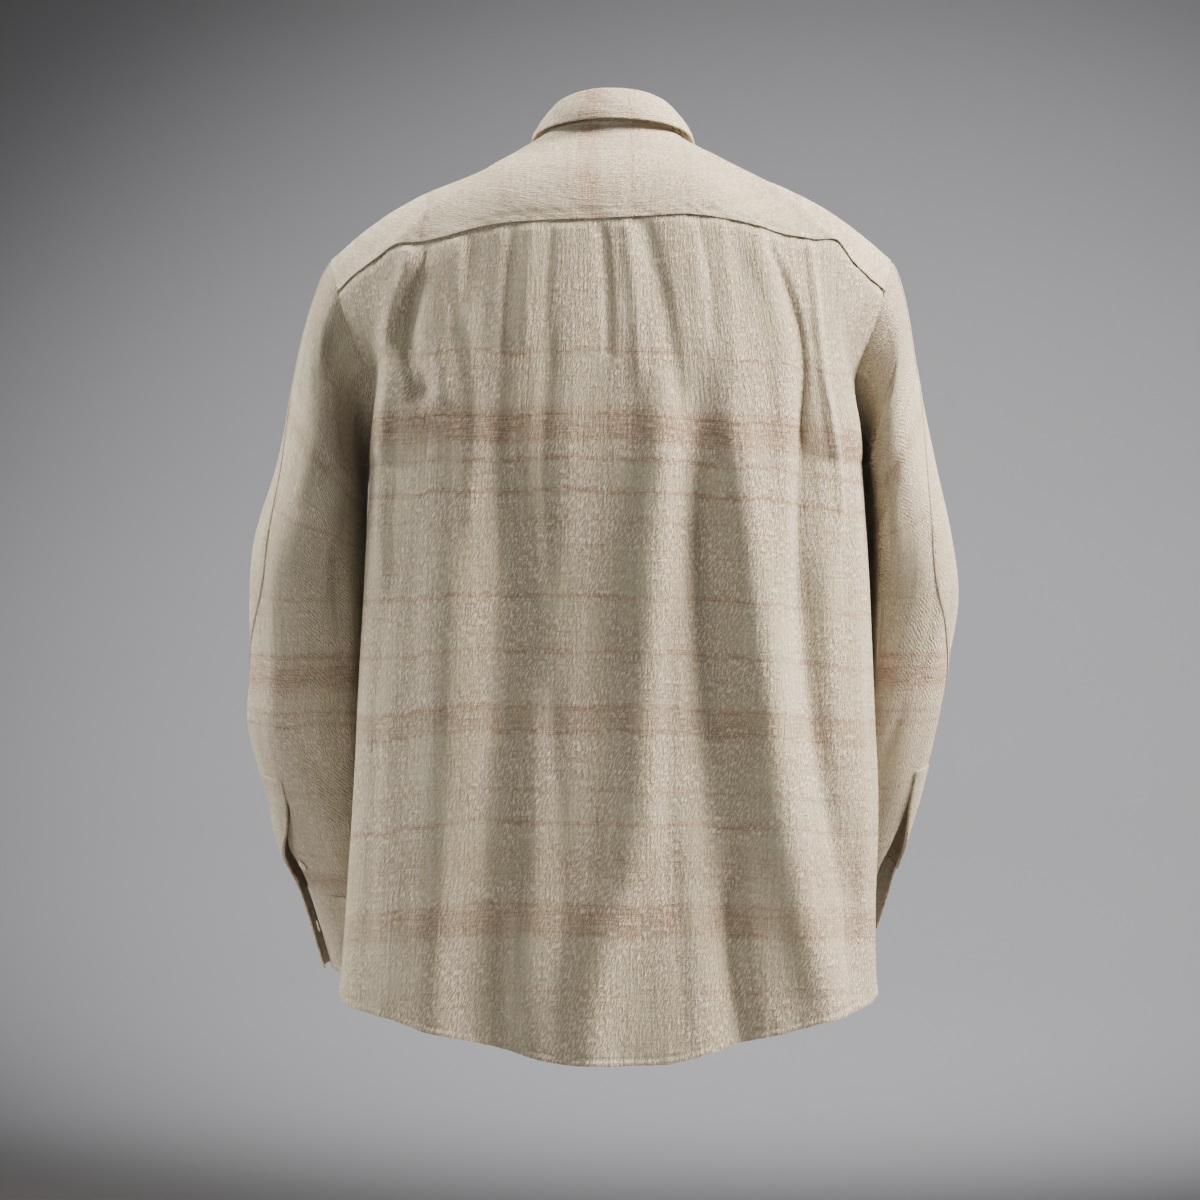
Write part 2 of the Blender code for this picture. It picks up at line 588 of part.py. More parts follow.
def slit_push(slit, place, turn, under):
    """Share by which the slit's over edge swells out and its under edge sinks in."""
    row = spline(slit, place)
    over_gap = row[..., 0] - turn
    under_gap = np.where(turn < row[..., 0] - 180.0, turn + 360.0, turn) - row[..., 1]
    swell = 1.0 + (row[..., 2] - 1.0) * ease(1.0 - np.abs(over_gap) / SLIT_REACH)
    sink = 1.0 + (row[..., 3] - 1.0) * ease(1.0 - np.abs(under_gap) / SLIT_REACH)
    return np.where(under, sink, swell)


def sleeve_point(side, place, turn, under):
    """Point of a sleeve section; turn 0 is outermost, 90 the back, -90 the front."""
    row = spline(SLEEVES[side], place)
    height, outer, half, middle, deep, tilt, _, roll = (row[..., k] for k in range(8))
    push = slit_push(SLITS[side], place, turn, under)
    angle = np.radians(turn)
    tilt = np.radians(tilt)
    square = SLEEVE_SQUARE[side] * ease((turn - SQUARE_FROM) / SQUARE_FADE) * ease((SQUARE_TO - turn) / SQUARE_FADE)
    square = square * ease((place - SLEEVE_START) / SQUARE_RISE) * ease((SLIT_START - place) / SQUARE_RUN_OUT)
    push = push * (1.0 + square)
    across = (outer - half) + half * np.cos(angle) * push
    fore = deep * np.sin(angle) * push
    height = height - fore * np.sin(tilt) + roll * np.cos(angle)
    return np.stack([across, middle + fore * np.cos(tilt), height], axis=-1)


def clear_body(points, side):
    """Keep a sleeve's inner side off the body."""
    points = points.copy()
    limit = side_width(points[..., 2], points[..., 1], side) + BODY_CLEARANCE
    gap = points[..., 0] - limit
    near = limit + CLEAR_SOFT * np.exp(np.minimum((gap - CLEAR_SOFT) / CLEAR_SOFT, 0.0))
    beside = (points[..., 2] < CHEST_Z) & (gap < CLEAR_SOFT)
    points[..., 0] = np.where(beside, near, points[..., 0])
    return points


def sleeve_grid(side, places, turns, under):
    """Grid down a sleeve; turns and under hold a row per place."""
    reach = np.asarray(ARM_TURNS)
    rows = []
    for place, turn, low in zip(places, turns, under):
        at = np.full(turn.shape, max(place, SLEEVE_START))
        point = sleeve_point(side, at, turn, low)
        if place < SLEEVE_START:
            ahead = sleeve_point(side, at + PULL_STEP, turn, low)
            start = armhole(np.interp(-turn, -reach[:, 1], reach[:, 0]), side) * np.array([side, 1.0, 1.0])
            angle = np.radians(turn)
            chord = np.linalg.norm(point - start, axis=-1, keepdims=True)
            drop = -1.0 - np.cos(angle)
            leave = np.stack([np.ones_like(angle), SLEEVE_BACK_LEAN * np.sin(angle), drop], axis=-1)
            leave = leave / np.linalg.norm(leave, axis=-1, keepdims=True) * chord
            arrive = (ahead - point) / np.linalg.norm(ahead - point, axis=-1, keepdims=True) * chord
            share = np.full(turn.shape, place / SLEEVE_START)
            point = sway(start, point, leave, arrive, share)
        rows.append(clear_body(point, side) if place > 0.0 else point)
    return np.stack(rows, axis=0) * np.array([side, 1.0, 1.0])


def seam_turn(side, place):
    return spline(SLEEVES[side], place)[..., 6]


def sleeve_back_turns(side, places):
    """Turns of the back half: outer seam to slit, then slit to under seam."""
    turns = []
    for place in places:
        slit = spline(SLITS[side], max(place, SLIT_START))
        part = ease((SLIT_START - place) / SLIT_FADE)
        over = slit[0] + (BACK_TURN - slit[0]) * part
        below = slit[1] + (BACK_TURN - slit[1]) * part
        seam = float(seam_turn(side, np.array(max(place, SLEEVE_START))))
        first = np.linspace(seam, over, OVER_COLUMNS)
        second = np.linspace(below, UNDER_SEAM_TURN, UNDER_COLUMNS)
        turns.append(np.concatenate([first, second]))
    under = np.zeros((len(places), OVER_COLUMNS + UNDER_COLUMNS), dtype=bool)
    under[:, OVER_COLUMNS:] = True
    return np.asarray(turns), under


def sleeve_front_turns(side, places):
    turns = []
    for place in places:
        seam = float(seam_turn(side, np.array(max(place, SLEEVE_START))))
        turns.append(np.linspace(UNDER_SEAM_TURN - 360.0, seam, FRONT_HALF_COLUMNS))
    turns = np.asarray(turns)
    return turns, turns < UNDER_TURN


def cuff_turns(side, places):
    turns = []
    for place in places:
        slit = spline(SLITS[side], place)
        turns.append(np.linspace(slit[0], slit[1] - 360.0, CUFF_COLUMNS))
    turns = np.asarray(turns)
    return turns, turns < UNDER_TURN


def neck_point(turn):
    point = spline(NECK, np.abs(turn))
    return point * np.stack([np.where(turn < 0.0, -1.0, 1.0), np.ones_like(turn), np.ones_like(turn)], axis=-1)


def collar_point(rows, turn):
    """Point of the fold or leaf edge; the right side spreads a little wider."""
    point = spline(rows, np.abs(turn))
    side = np.where(turn < 0.0, -RIGHT_COLLAR_SPREAD, 1.0)
    return point * np.stack([side, np.ones_like(turn), np.ones_like(turn)], axis=-1)


def ring_out(turn):
    """Level direction out of the neck at a turn."""
    angle = np.radians(turn)
    return np.stack([np.sin(angle), np.cos(angle), np.zeros_like(angle)], axis=-1)


def neck_turns(limit):
    """Turns of the collar's columns up to a limit, right front round the back to left front."""
    left = [turn for turn in FRONT_NECK_TURNS + SIDE_NECK_TURNS if turn < limit]
    left = [limit] + left
    return np.array([-turn for turn in left] + left[::-1][1:])


def lap_push(turn):
    """Level push that lets the left end of the stand pass outside the right end."""
    left = ease((turn - STAND_LAP_TURN) / STAND_LAP_REACH)
    right = ease((-turn - STAND_LAP_TURN) / STAND_LAP_REACH)
    return STAND_LAP_LIFT * (left - right)


def stand_grid(turn, rows):
    """Collar stand from its top edge down to the neck seam, right end round the back to the left end."""
    out = ring_out(turn)
    top = collar_point(COLLAR_FOLD, turn) - out * STAND_TOP_INSET + np.array([0.0, 0.0, -STAND_TOP_DROP])
    base = neck_point(turn) + np.array([0.0, 0.0, NECK_RISE])
    share = np.linspace(0.0, 1.0, rows)[:, None, None]
    points = top[None] + (base - top)[None] * share
    return points + out[None] * lap_push(turn)[None, :, None]


def leaf_grid(turn, rows):
    """Collar leaf from the stand's top edge over the fold and down to its outer edge."""
    out = ring_out(turn)
    fold = collar_point(COLLAR_FOLD, turn)
    up = np.array([0.0, 0.0, 1.0])
    lap = lap_push(turn)[:, None]
    over = np.maximum(lap, 0.0) - LEAF_LAP_SHARE * np.minimum(lap, 0.0)
    start = fold - out * (STAND_TOP_INSET - lap) + up * (LEAF_SEAM_GAP - STAND_TOP_DROP)
    crown = fold - out * 0.5 * (STAND_TOP_INSET - lap - over) + up * LEAF_CROWN
    turned = fold + out * (LEAF_CLEAR + over) - up * LEAF_CROWN
    edge = collar_point(COLLAR_EDGE, turn)
    share = np.linspace(0.0, 1.0, rows)[1:, None, None]
    fall = turned[None] + (edge - turned)[None] * share + out[None] * np.sin(math.pi * share) * LEAF_SWELL
    return np.concatenate([start[None], crown[None], turned[None], fall], axis=0)


def outward(points, centre):
    """Unit normals of a grid, pointing away from a centre."""
    n = normals(points)
    side = np.sum(n * (points - centre))
    return n if side > 0.0 else -n


def moved_out(points, distance, centre):
    return points + outward(points, centre) * distance


def sheet(name, points, wall, material, slit=None):
    """Cloth piece: a grid of faces given its wall; slit is the column and row where it parts."""
    rows, columns = points.shape[:2]
    index = {}
    places = []
    for r in range(rows):
        for c in range(columns):
            if slit and c == slit[0] and r <= slit[1]:
                index[r, c] = index[r, c - 1]
                continue
            index[r, c] = len(places)
            places.append(Vector(points[r, c]) * MM)
    mesh = bpy.data.meshes.new(name)
    form = bmesh.new()
    corners = [form.verts.new(place) for place in places]
    for r in range(rows - 1):
        for c in range(columns - 1):
            if slit and c == slit[0] - 1:
                continue
            ring = [index[r, c], index[r, c + 1], index[r + 1, c + 1], index[r + 1, c]]
            form.faces.new([corners[i] for i in ring])
    bmesh.ops.recalc_face_normals(form, faces=form.faces)
    for face in form.faces:
        face.smooth = True
    form.to_mesh(mesh)
    form.free()
    mesh.materials.append(material)
    item = bpy.data.objects.new(name, mesh)
    shirt.objects.link(item)
    thick = item.modifiers.new("Wall", "SOLIDIFY")
    thick.thickness = wall * MM
    thick.offset = 0.0
    thick.use_even_offset = False
    return item


def button(name, place, normal, material):
    """Round dished button standing on a surface along its normal."""
    mesh = bpy.data.meshes.new(name)
    form = bmesh.new()
    line = []
    for inset, share in BUTTON_SECTION:
        line.append(form.verts.new(((BUTTON_RADIUS - inset) * MM, 0.0, share * BUTTON_THICK * MM)))
    edges = [form.edges.new((line[i], line[i + 1])) for i in range(len(line) - 1)]
    bmesh.ops.spin(
        form, geom=line + edges, axis=(0.0, 0.0, 1.0), cent=(0.0, 0.0, 0.0),
        angle=2.0 * math.pi, steps=BUTTON_SIDES, use_merge=True, use_duplicate=False,
    )
    bmesh.ops.remove_doubles(form, verts=form.verts, dist=0.00001)
    bmesh.ops.recalc_face_normals(form, faces=form.faces)
    turned = Vector(normal).to_track_quat("Z", "Y").to_matrix().to_4x4()
    bmesh.ops.transform(form, matrix=Matrix.Translation(Vector(place) * MM) @ turned, verts=form.verts)
    for face in form.faces:
        face.smooth = True
    form.to_mesh(mesh)
    form.free()
    mesh.materials.append(material)
    item = bpy.data.objects.new(name, mesh)
    shirt.objects.link(item)
    return item


def at_share(points, row, column):
    """Point of a grid at fractional row and column."""
    r, c = int(row), int(column)
    r, c = min(r, points.shape[0] - 2), min(c, points.shape[1] - 2)
    u, v = row - r, column - c
    top = points[r, c] * (1 - v) + points[r, c + 1] * v
    low = points[r + 1, c] * (1 - v) + points[r + 1, c + 1] * v
    return top * (1 - u) + low * u


def shade(name, colour, roughness):
    material = bpy.data.materials.new(name)
    material.use_nodes = True
    surface = material.node_tree.nodes["Principled BSDF"]
    surface.inputs["Base Color"].default_value = colour
    surface.inputs["Roughness"].default_value = roughness
    surface.inputs["Metallic"].default_value = 0.0
    return material


def build_body(cloth):
    share = np.linspace(-1.0, 1.0, BACK_COLUMNS)
    back = back_panel(share, BODY_ROWS, CHEST_ROWS)
    seam_gap = YOKE_SEAM_GAP + YOKE_CORNER_GAP * ease((np.abs(share) - 0.5) / 0.35)
    sheet("back", trim_edges(back, HALF_GAP, HALF_GAP, seam_gap, 0.0), WALL, cloth)
    yoke = yoke_panel(share, SHOULDER_STEPS, YOKE_ROWS)
    shoulder = np.full(SHOULDER_STEPS, YOKE_SEAM_GAP)
    seam_gap = np.concatenate([shoulder, seam_gap, shoulder])
    sheet("yoke", trim_edges(yoke, HALF_GAP, HALF_GAP, 0.0, seam_gap), WALL, cloth)
    fronts = {}
    seam_shares = np.linspace(0.0, 1.0, YOKE_ROWS)
    for side, name, lift in ((1, "left_front", OVERLAP_LIFT), (-1, "right_front", -OVERLAP_LIFT)):
        front = front_panel(side, np.array(FRONT_NECK_TURNS), seam_shares, BODY_ROWS, CHEST_ROWS, lift)
        fronts[side] = trim_edges(front, 0.0, HALF_GAP, HALF_GAP, 0.0)
        sheet(name, fronts[side], WALL, cloth)
    return fronts


def build_front_band(front, cloth):
    """Band down the left front's edge, laid on its face."""
    raised = moved_out(front, WALL + LAY_GAP, BODY_MIDDLE)
    band = raised[:, :BAND_STEPS + 1]
    sheet("front_band", trim_edges(band, BAND_EDGE_TRIM, BAND_EDGE_TRIM, BAND_TOP_TRIM, 0.0), WALL, cloth)
    return band


def armhole_gap(turn):
    """Draw-back of a sleeve's top edge, more under the arm where it meets the body square."""
    low = ease(0.5 - 0.5 * np.cos(np.radians(turn)))
    return ARMHOLE_TOP_GAP + (ARMHOLE_UNDER_GAP - ARMHOLE_TOP_GAP) * low


def build_sleeves(cloth):
    grids = {}
    for side, word in ((1, "left"), (-1, "right")):
        upper = np.linspace(0.0, SLIT_START, SLEEVE_ROWS - SLIT_ROWS + 1)
        lower = np.linspace(SLIT_START, CUFF_START, SLIT_ROWS)[1:]
        places = np.concatenate([upper, lower])
        turns, under = sleeve_back_turns(side, places)
        grid = sleeve_grid(side, places, turns, under)
        grid = trim_edges(grid, HALF_GAP, UNDER_GAP, armhole_gap(turns[0]), HALF_GAP)
        slit_row = len(upper) - 1
        grids[side] = (grid, slit_row)
        sheet(word + "_sleeve_back", grid, WALL, cloth, slit=(OVER_COLUMNS, slit_row))
        turns, under = sleeve_front_turns(side, places)
        front = sleeve_grid(side, places, turns, under)
        front = trim_edges(front, UNDER_GAP, HALF_GAP, armhole_gap(turns[0]), HALF_GAP)
        sheet(word + "_sleeve_front", front, WALL, cloth)
    return grids


def build_cuffs(cloth):
    cuffs = {}
    for side, word in ((1, "left"), (-1, "right")):
        places = np.linspace(CUFF_START, 1.0, CUFF_ROWS)
        turns, under = cuff_turns(side, places)
        grid = sleeve_grid(side, places, turns, under)
        grid = trim_edges(grid, 0.0, 0.0, HALF_GAP, 0.0)
        cuffs[side] = grid
        sheet(word + "_cuff", grid, DOUBLE_WALL, cloth)
    return cuffs


def build_gauntlets(grids, cloth):
    """Placket strip on the over side of each sleeve slit."""
    for side, word in ((1, "left"), (-1, "right")):
        grid, slit_row = grids[side]
        centre = grid[slit_row].mean(axis=0)
        over = grid[:, :OVER_COLUMNS]
        raised = moved_out(over, WALL + LAY_GAP, centre)
        strip = raised[slit_row - 1:, OVER_COLUMNS - GAUNTLET_COLUMNS:]
        strip = trim_edges(strip, 0.0, GAUNTLET_EDGE_TRIM, GAUNTLET_TOP_CUT, GAUNTLET_END_TRIM)
        sheet(word + "_gauntlet", strip, WALL, cloth)


def build_collar(cloth):
    stand = stand_grid(neck_turns(NECK_LAP_TURN), STAND_ROWS)
    sheet("collar_stand", stand, DOUBLE_WALL, cloth)
    leaf = leaf_grid(neck_turns(LEAF_END_TURN), LEAF_ROWS)
    sheet("collar_leaf", leaf, DOUBLE_WALL, cloth)
    return stand


def place_button(name, grid, row, column, centre, wall, horn):
    n = outward(grid, centre)
    normal = at_share(n, row, column)
    normal = normal / np.linalg.norm(normal)
    point = at_share(grid, row, column)
    rise = 0.5 * wall + LAY_GAP + 0.5 * BUTTON_THICK
    button(name, point + normal * rise, normal, horn)


def row_at_height(grid, column, height):
    line = np.array([at_share(grid, r, column)[2] for r in range(grid.shape[0])])
    return float(np.interp(-height, -line, np.arange(grid.shape[0])))


def build_buttons(band, stand, grids, cuffs, horn):
    for number, height in enumerate(BUTTON_HEIGHTS, start=1):
        row = row_at_height(band, 1.0, height)
        place_button(f"front_button_{number}", band, row, 1.0, BODY_MIDDLE, WALL, horn)
    neck_middle = np.zeros(3)
    place_button("collar_button", stand, 1.0, stand.shape[1] - 2, neck_middle, DOUBLE_WALL, horn)
    for side, word in ((1, "left"), (-1, "right")):
        cuff = cuffs[side]
        column = CUFF_COLUMNS - CUFF_BUTTON_COLUMN
        place_button(word + "_cuff_button", cuff, 1.0, column, cuff.mean(axis=(0, 1)), DOUBLE_WALL, horn)
        grid, slit_row = grids[side]
        under = grid[:, OVER_COLUMNS:]
        row = slit_row + GAUNTLET_BUTTON_ROW
        centre = grid[slit_row + 2].mean(axis=0)
        place_button(word + "_sleeve_button", under, row, GAUNTLET_BUTTON_COLUMN, centre, WALL, horn)


def main():
    cloth = shade("ecru slub cotton", ECRU, 0.9)
    trim = shade("ecru slub cotton trim", WARM_ECRU, 0.9)
    horn = shade("pale horn button", HORN, 0.35)
    fronts = build_body(cloth)
    band = build_front_band(fronts[1], trim)
    grids = build_sleeves(cloth)
    cuffs = build_cuffs(trim)
    build_gauntlets(grids, trim)
    stand = build_collar(trim)
    build_buttons(band, stand, grids, cuffs, horn)


clear_scene()
shirt = bpy.data.collections.new("button_up_shirt")
bpy.context.scene.collection.children.link(shirt)
main()
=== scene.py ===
"""Long-sleeved button-up shirt in banded slub cotton, filled out as when worn and seen from behind.

Tables in millimetres, meshes in metres. Front towards -Y, back towards +Y, the shirt's left on +X.
"""
import json
import math

import bmesh
import bpy
import numpy as np
from mathutils import Matrix, Vector


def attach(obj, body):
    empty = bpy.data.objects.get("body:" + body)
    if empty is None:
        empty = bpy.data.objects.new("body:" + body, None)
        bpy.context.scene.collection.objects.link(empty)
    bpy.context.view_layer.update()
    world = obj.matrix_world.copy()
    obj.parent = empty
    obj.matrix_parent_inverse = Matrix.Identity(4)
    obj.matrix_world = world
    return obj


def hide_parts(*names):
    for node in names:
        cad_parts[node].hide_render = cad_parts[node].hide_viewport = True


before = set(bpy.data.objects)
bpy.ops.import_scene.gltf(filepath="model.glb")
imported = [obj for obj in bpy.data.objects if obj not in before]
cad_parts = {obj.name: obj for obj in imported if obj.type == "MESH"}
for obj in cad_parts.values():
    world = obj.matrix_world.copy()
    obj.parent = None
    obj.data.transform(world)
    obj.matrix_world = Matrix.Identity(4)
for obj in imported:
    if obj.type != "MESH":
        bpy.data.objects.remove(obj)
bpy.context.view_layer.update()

MM = 0.001

# Cloth as it is sewn: single layer, doubled and turned trim, how far a laid piece stands off
CLOTH = 0.8
TRIM_CLOTH = 1.7
LAID = 0.95
SEAM_TRIM = 0.12
ARMHOLE_TOP_GAP = 0.35
ARMHOLE_UNDER_GAP = 0.6

# Grid steps, about 3 mm apart on the back and 4 mm elsewhere
BACK_COLUMNS = 201
BACK_HALF_CLOTH = 280.0
BODY_ROWS = 118
CHEST_ROWS = 52
YOKE_ROWS = 40
SHOULDER_STEPS = 16
FRONT_NECK_COLUMNS = 14
SLEEVE_UPPER_ROWS = 110
SLEEVE_SLIT_ROWS = 34
CUFF_ROWS = 20
OVER_COLUMNS = 22
UNDER_COLUMNS = 36
FRONT_HALF_COLUMNS = 40
CUFF_COLUMNS = 80
STAND_ROWS = 8
LEAF_ROWS = 14
GAUNTLET_COLUMNS = 10
GAUNTLET_RISE = 17.0
GAUNTLET_PROUD = 0.5

# Body: height, left half width, right half width, depth of the widest line, back depth, front depth
CHEST_Z = -265.0
BODY = (
    (-770.0, 225.0, 217.0, 31.0, 141.0, -130.0),
    (-692.0, 222.0, 216.5, 32.0, 140.0, -129.0),
    (-622.0, 217.0, 216.0, 33.0, 138.0, -127.0),
    (-541.0, 212.0, 217.0, 34.0, 136.0, -126.0),
    (-458.0, 208.0, 214.5, 35.0, 135.0, -127.0),
    (-344.0, 202.0, 210.5, 35.0, 137.0, -129.0),
    (-265.0, 197.5, 205.5, 35.0, 139.0, -126.0),
)
BACK_SQUARE = 0.80
FRONT_SQUARE = 0.93
SIDE_SEAM_ANGLE = 104.0

# Hem height from the centre (0) to the side seam (1)
HEM_BACK = (
    (0.00, -745.5), (0.14, -743.5), (0.23, -737.0), (0.33, -728.5), (0.42, -722.5),
    (0.54, -713.0), (0.72, -703.5), (0.86, -694.0), (0.95, -681.0), (1.00, -673.0),
)
HEM_FRONT = (
    (0.00, -733.0), (0.25, -730.0), (0.50, -719.0), (0.72, -703.0), (0.88, -684.0), (1.00, -673.0),
)

# Armhole on the left, from the underarm up the back, over the shoulder and down the front
ARMHOLE = (
    (-0.06, 190.0, -36.0, -261.0),
    (0.00, 190.0, -6.0, -265.0),
    (0.06, 191.0, 18.0, -250.0),
    (0.13, 193.0, 36.0, -224.0),
    (0.20, 195.5, 45.0, -198.0),
    (0.26, 202.0, 52.0, -180.0),
    (0.32, 213.0, 55.0, -157.0),
    (0.40, 223.5, 47.0, -124.0),
    (0.46, 229.5, 26.0, -104.0),
    (0.52, 232.0, 0.0, -95.0),
    (0.58, 229.5, -26.0, -99.0),
    (0.65, 222.0, -50.0, -114.0),
    (0.73, 208.0, -74.0, -144.0),
    (0.81, 197.0, -86.0, -182.0),
    (0.89, 191.5, -78.0, -224.0),
    (0.95, 190.0, -46.0, -252.0),
    (1.00, 190.0, -6.0, -265.0),
    (1.06, 191.0, 18.0, -250.0),
)
RIGHT_UNDERARM_WIDER = 8.5
BACK_CORNER = 0.40
FRONT_CORNER = 0.65

# Seam of yoke and back: across, height
YOKE_SEAM = (
    (-223.5, -124.0), (-211.7, -114.5), (-197.0, -101.0), (-188.0, -89.0), (-163.6, -85.4),
    (-138.9, -82.3), (-118.4, -76.8), (-92.5, -71.5), (-56.4, -68.4), (-35.6, -69.7),
    (9.1, -72.2), (57.0, -73.4), (87.5, -75.3), (109.3, -78.7), (133.7, -84.6),
    (152.5, -88.0), (176.6, -90.0), (189.1, -98.7), (208.6, -111.4), (223.5, -124.0),
)
SEAM_BACK_DEPTH = 118.0
SEAM_CORNER_DEPTH = 47.0
SEAM_HALF_WIDTH = 223.5
SEAM_DEPTH_POWER = 2.2

# Neck ring: turn from the back (0) by the side (90) to the front (180), across, depth, height
NECK = (
    (-60.0, -53.0, 36.0, 7.5),
    (0.0, 0.0, 62.0, 10.5),
    (45.0, 43.0, 45.0, 8.5),
    (90.0, 60.5, 0.0, -0.5),
    (135.0, 43.0, -45.0, -26.0),
    (180.0, 0.0, -62.0, -43.0),
    (225.0, -43.0, -45.0, -26.0),
)
NECK_FRONT_TURN = 122.0
NECK_LAP_TURN = 194.96
NECK_BAND_TURN = 165.04
NECK_CORNER_TURN = 72.0

# Deep folds of the back: name, push out (+) or in (-), half width, then height and place across
BACK_FOLDS = (
    ("right trough", -11.0, 19.0, (
        (-725.0, -102.0), (-614.0, -90.0), (-495.0, -79.6), (-345.0, -71.7), (-163.0, -62.0))),
    ("right crest", 9.0, 19.0, (
        (-696.0, -172.0), (-615.0, -150.0), (-496.0, -130.0), (-345.0, -111.5), (-218.0, -98.0))),
    ("right pleat", -10.0, 13.0, (
        (-617.0, -193.0), (-537.0, -175.0), (-456.0, -162.0), (-345.0, -152.6), (-189.0, -153.0),
        (-148.0, -147.0), (-99.0, -125.0))),
    ("middle crest", 6.5, 24.0, (
        (-733.0, 17.0), (-654.0, 5.0), (-575.0, -20.0), (-456.0, -26.0), (-345.0, -30.5),
        (-218.0, -48.0), (-139.0, -50.0))),
    ("left trough", -8.0, 22.0, (
        (-731.0, 92.0), (-694.0, 98.0), (-575.0, 92.0), (-456.0, 84.4), (-377.0, 82.0), (-218.0, 88.0))),
    ("left crest", 5.0, 22.0, (
        (-695.0, 145.0), (-536.0, 136.0), (-416.0, 131.0), (-257.0, 131.0))),
    ("left pleat", -9.0, 11.0, (
        (-205.0, 152.0), (-185.0, 160.0), (-167.0, 165.0), (-139.0, 163.5), (-106.0, 154.0))),
)
# How strongly each fold shows down its length: place on its path (0 low, 1 high), share
FOLD_FADE = ((0.0, 0.9), (0.3, 1.0), (0.8, 0.9), (1.0, 0.0))
# Folds that start under this height run out through the hem, the others fade in over this share
FOLD_HEM_HEIGHT = -680.0
FOLD_LOW_FADE = 0.25
# Share of the back's half width over which folds fade at the side seam, and their fade-in at the yoke
BACK_SIDE_FADE = 0.22
BACK_TOP_FADE = 5.0
FRONT_FOLDS = (
    ("left front trough", -5.0, 22.0, ((-700.0, 92.0), (-560.0, 84.0), (-400.0, 80.0), (-200.0, 96.0))),
    ("left front crest", 4.5, 22.0, ((-690.0, 134.0), (-520.0, 126.0), (-300.0, 122.0), (-190.0, 130.0))),
    ("right front trough", -5.0, 20.0,
        ((-715.0, -78.0), (-540.0, -76.0), (-380.0, -84.0), (-220.0, -98.0))),
    ("right front crest", 4.5, 24.0,
        ((-700.0, -122.0), (-520.0, -118.0), (-300.0, -126.0), (-180.0, -132.0))),
)

# Folds of the fronts stay clear of the band and fade at the side and at the top
FRONT_CENTRE_CLEAR = 25.0
FRONT_CENTRE_FADE = 40.0
FRONT_SIDE_FADE = 0.2
FRONT_TOP_FADE = 2.0

# Front overlap
OVERLAP = 16.0
OVERLAP_TURNS = (190.0, 170.0)
OVERLAP_LIFT = 1.3
OVERLAP_FADE = 42.0
BUTTON_HEIGHTS = (-102.0, -187.0, -272.0, -357.0, -442.0, -527.0, -612.0)

# How the panels rise from the chest to the seams above it
CHEST_RISE = (0.0, 0.0, 190.0)
BACK_LEAN = (0.0, -38.0, 160.0)
FRONT_LEAN_MIDDLE = 105.0
FRONT_LEAN_SIDE = 70.0
FRONT_LEAN_UP = 140.0
CHEST_PULL_REACH = 0.3
CHEST_FADE = 2.2
EDGE_REACH = 0.62
LEAST_SLANT = 0.35

# Swell of the yoke and the shoulder seam between their ends
SWELL_SKEW = 1.5
FRONT_SEAM_SWELL = (0.0, -2.0, 12.0)
YOKE_CORNER_FROM = 0.5
YOKE_CORNER_REACH = 0.4
SHOULDER_SWELL = 2.5
FRONT_CORNER_SWELL = 3.0
FRONT_CORNER_DIP = 2.0
YOKE_SWELL = 9.0
YOKE_BACK_SWELL = 5.0
YOKE_CORNER_SWELL = 4.0
BAND_STEPS = 8
BODY_MIDDLE = np.array([0.0, 0.0, -400.0])

# Sleeves: place down the sleeve, height of the middle, outer edge, half width, middle depth,
# half depth, tilt of the section, turn of the outer seam, rise of the outer edge over the middle
SLEEVE_START = 0.20
LEFT_SLEEVE = (
    (0.20, -241.0, 263.0, 29.5, -10.0, 80.0, 4.0, 10.0, 50.0),
    (0.28, -291.0, 278.0, 36.5, -22.0, 84.0, 3.0, 30.0, 30.0),
    (0.36, -337.0, 298.5, 48.0, -34.0, 83.0, 2.0, 45.0, 12.0),
    (0.44, -380.0, 303.5, 53.0, -42.0, 80.0, 0.0, 38.0, 3.0),
    (0.52, -430.0, 303.0, 55.0, -50.0, 75.0, 0.0, 4.0, 0.0),
    (0.60, -478.0, 306.0, 57.0, -60.0, 70.0, 3.0, -12.0, 0.0),
    (0.70, -535.0, 294.0, 53.0, -80.0, 62.0, 8.0, -22.0, 0.0),
    (0.80, -582.0, 281.0, 48.0, -102.0, 54.0, 11.0, -28.0, 0.0),
    (0.88, -620.5, 265.0, 43.0, -122.0, 46.0, 11.0, -30.0, 0.0),
    (1.00, -694.0, 245.5, 40.0, -141.0, 43.0, 6.0, -30.0, 0.0),
)
RIGHT_SLEEVE = (
    (0.20, -237.0, 254.0, 24.0, -12.0, 80.0, 4.0, 10.0, 50.0),
    (0.28, -287.0, 269.5, 29.0, -24.0, 84.0, 3.0, 48.0, 30.0),
    (0.36, -334.0, 285.0, 38.0, -36.0, 83.0, 2.0, 62.0, 12.0),
    (0.44, -377.0, 292.0, 46.0, -46.0, 79.0, 0.0, 56.0, 3.0),
    (0.52, -426.0, 285.0, 50.0, -57.0, 74.0, 2.0, 20.0, 0.0),
    (0.60, -472.0, 278.0, 51.0, -70.0, 68.0, 7.0, -8.0, 0.0),
    (0.70, -524.0, 268.0, 49.0, -94.0, 60.0, 14.0, -20.0, 0.0),
    (0.80, -571.0, 255.0, 45.0, -119.0, 52.0, 19.0, -27.0, 0.0),
    (0.88, -607.0, 245.0, 42.0, -139.0, 46.0, 20.0, -30.0, 0.0),
    (1.00, -668.0, 231.5, 41.0, -169.0, 43.0, 18.0, -30.0, 0.0),
)
UNDER_SEAM_TURN = 196.0
CUFF_START = 0.88
SLIT_START = 0.70
BODY_CLEARANCE = 7.0

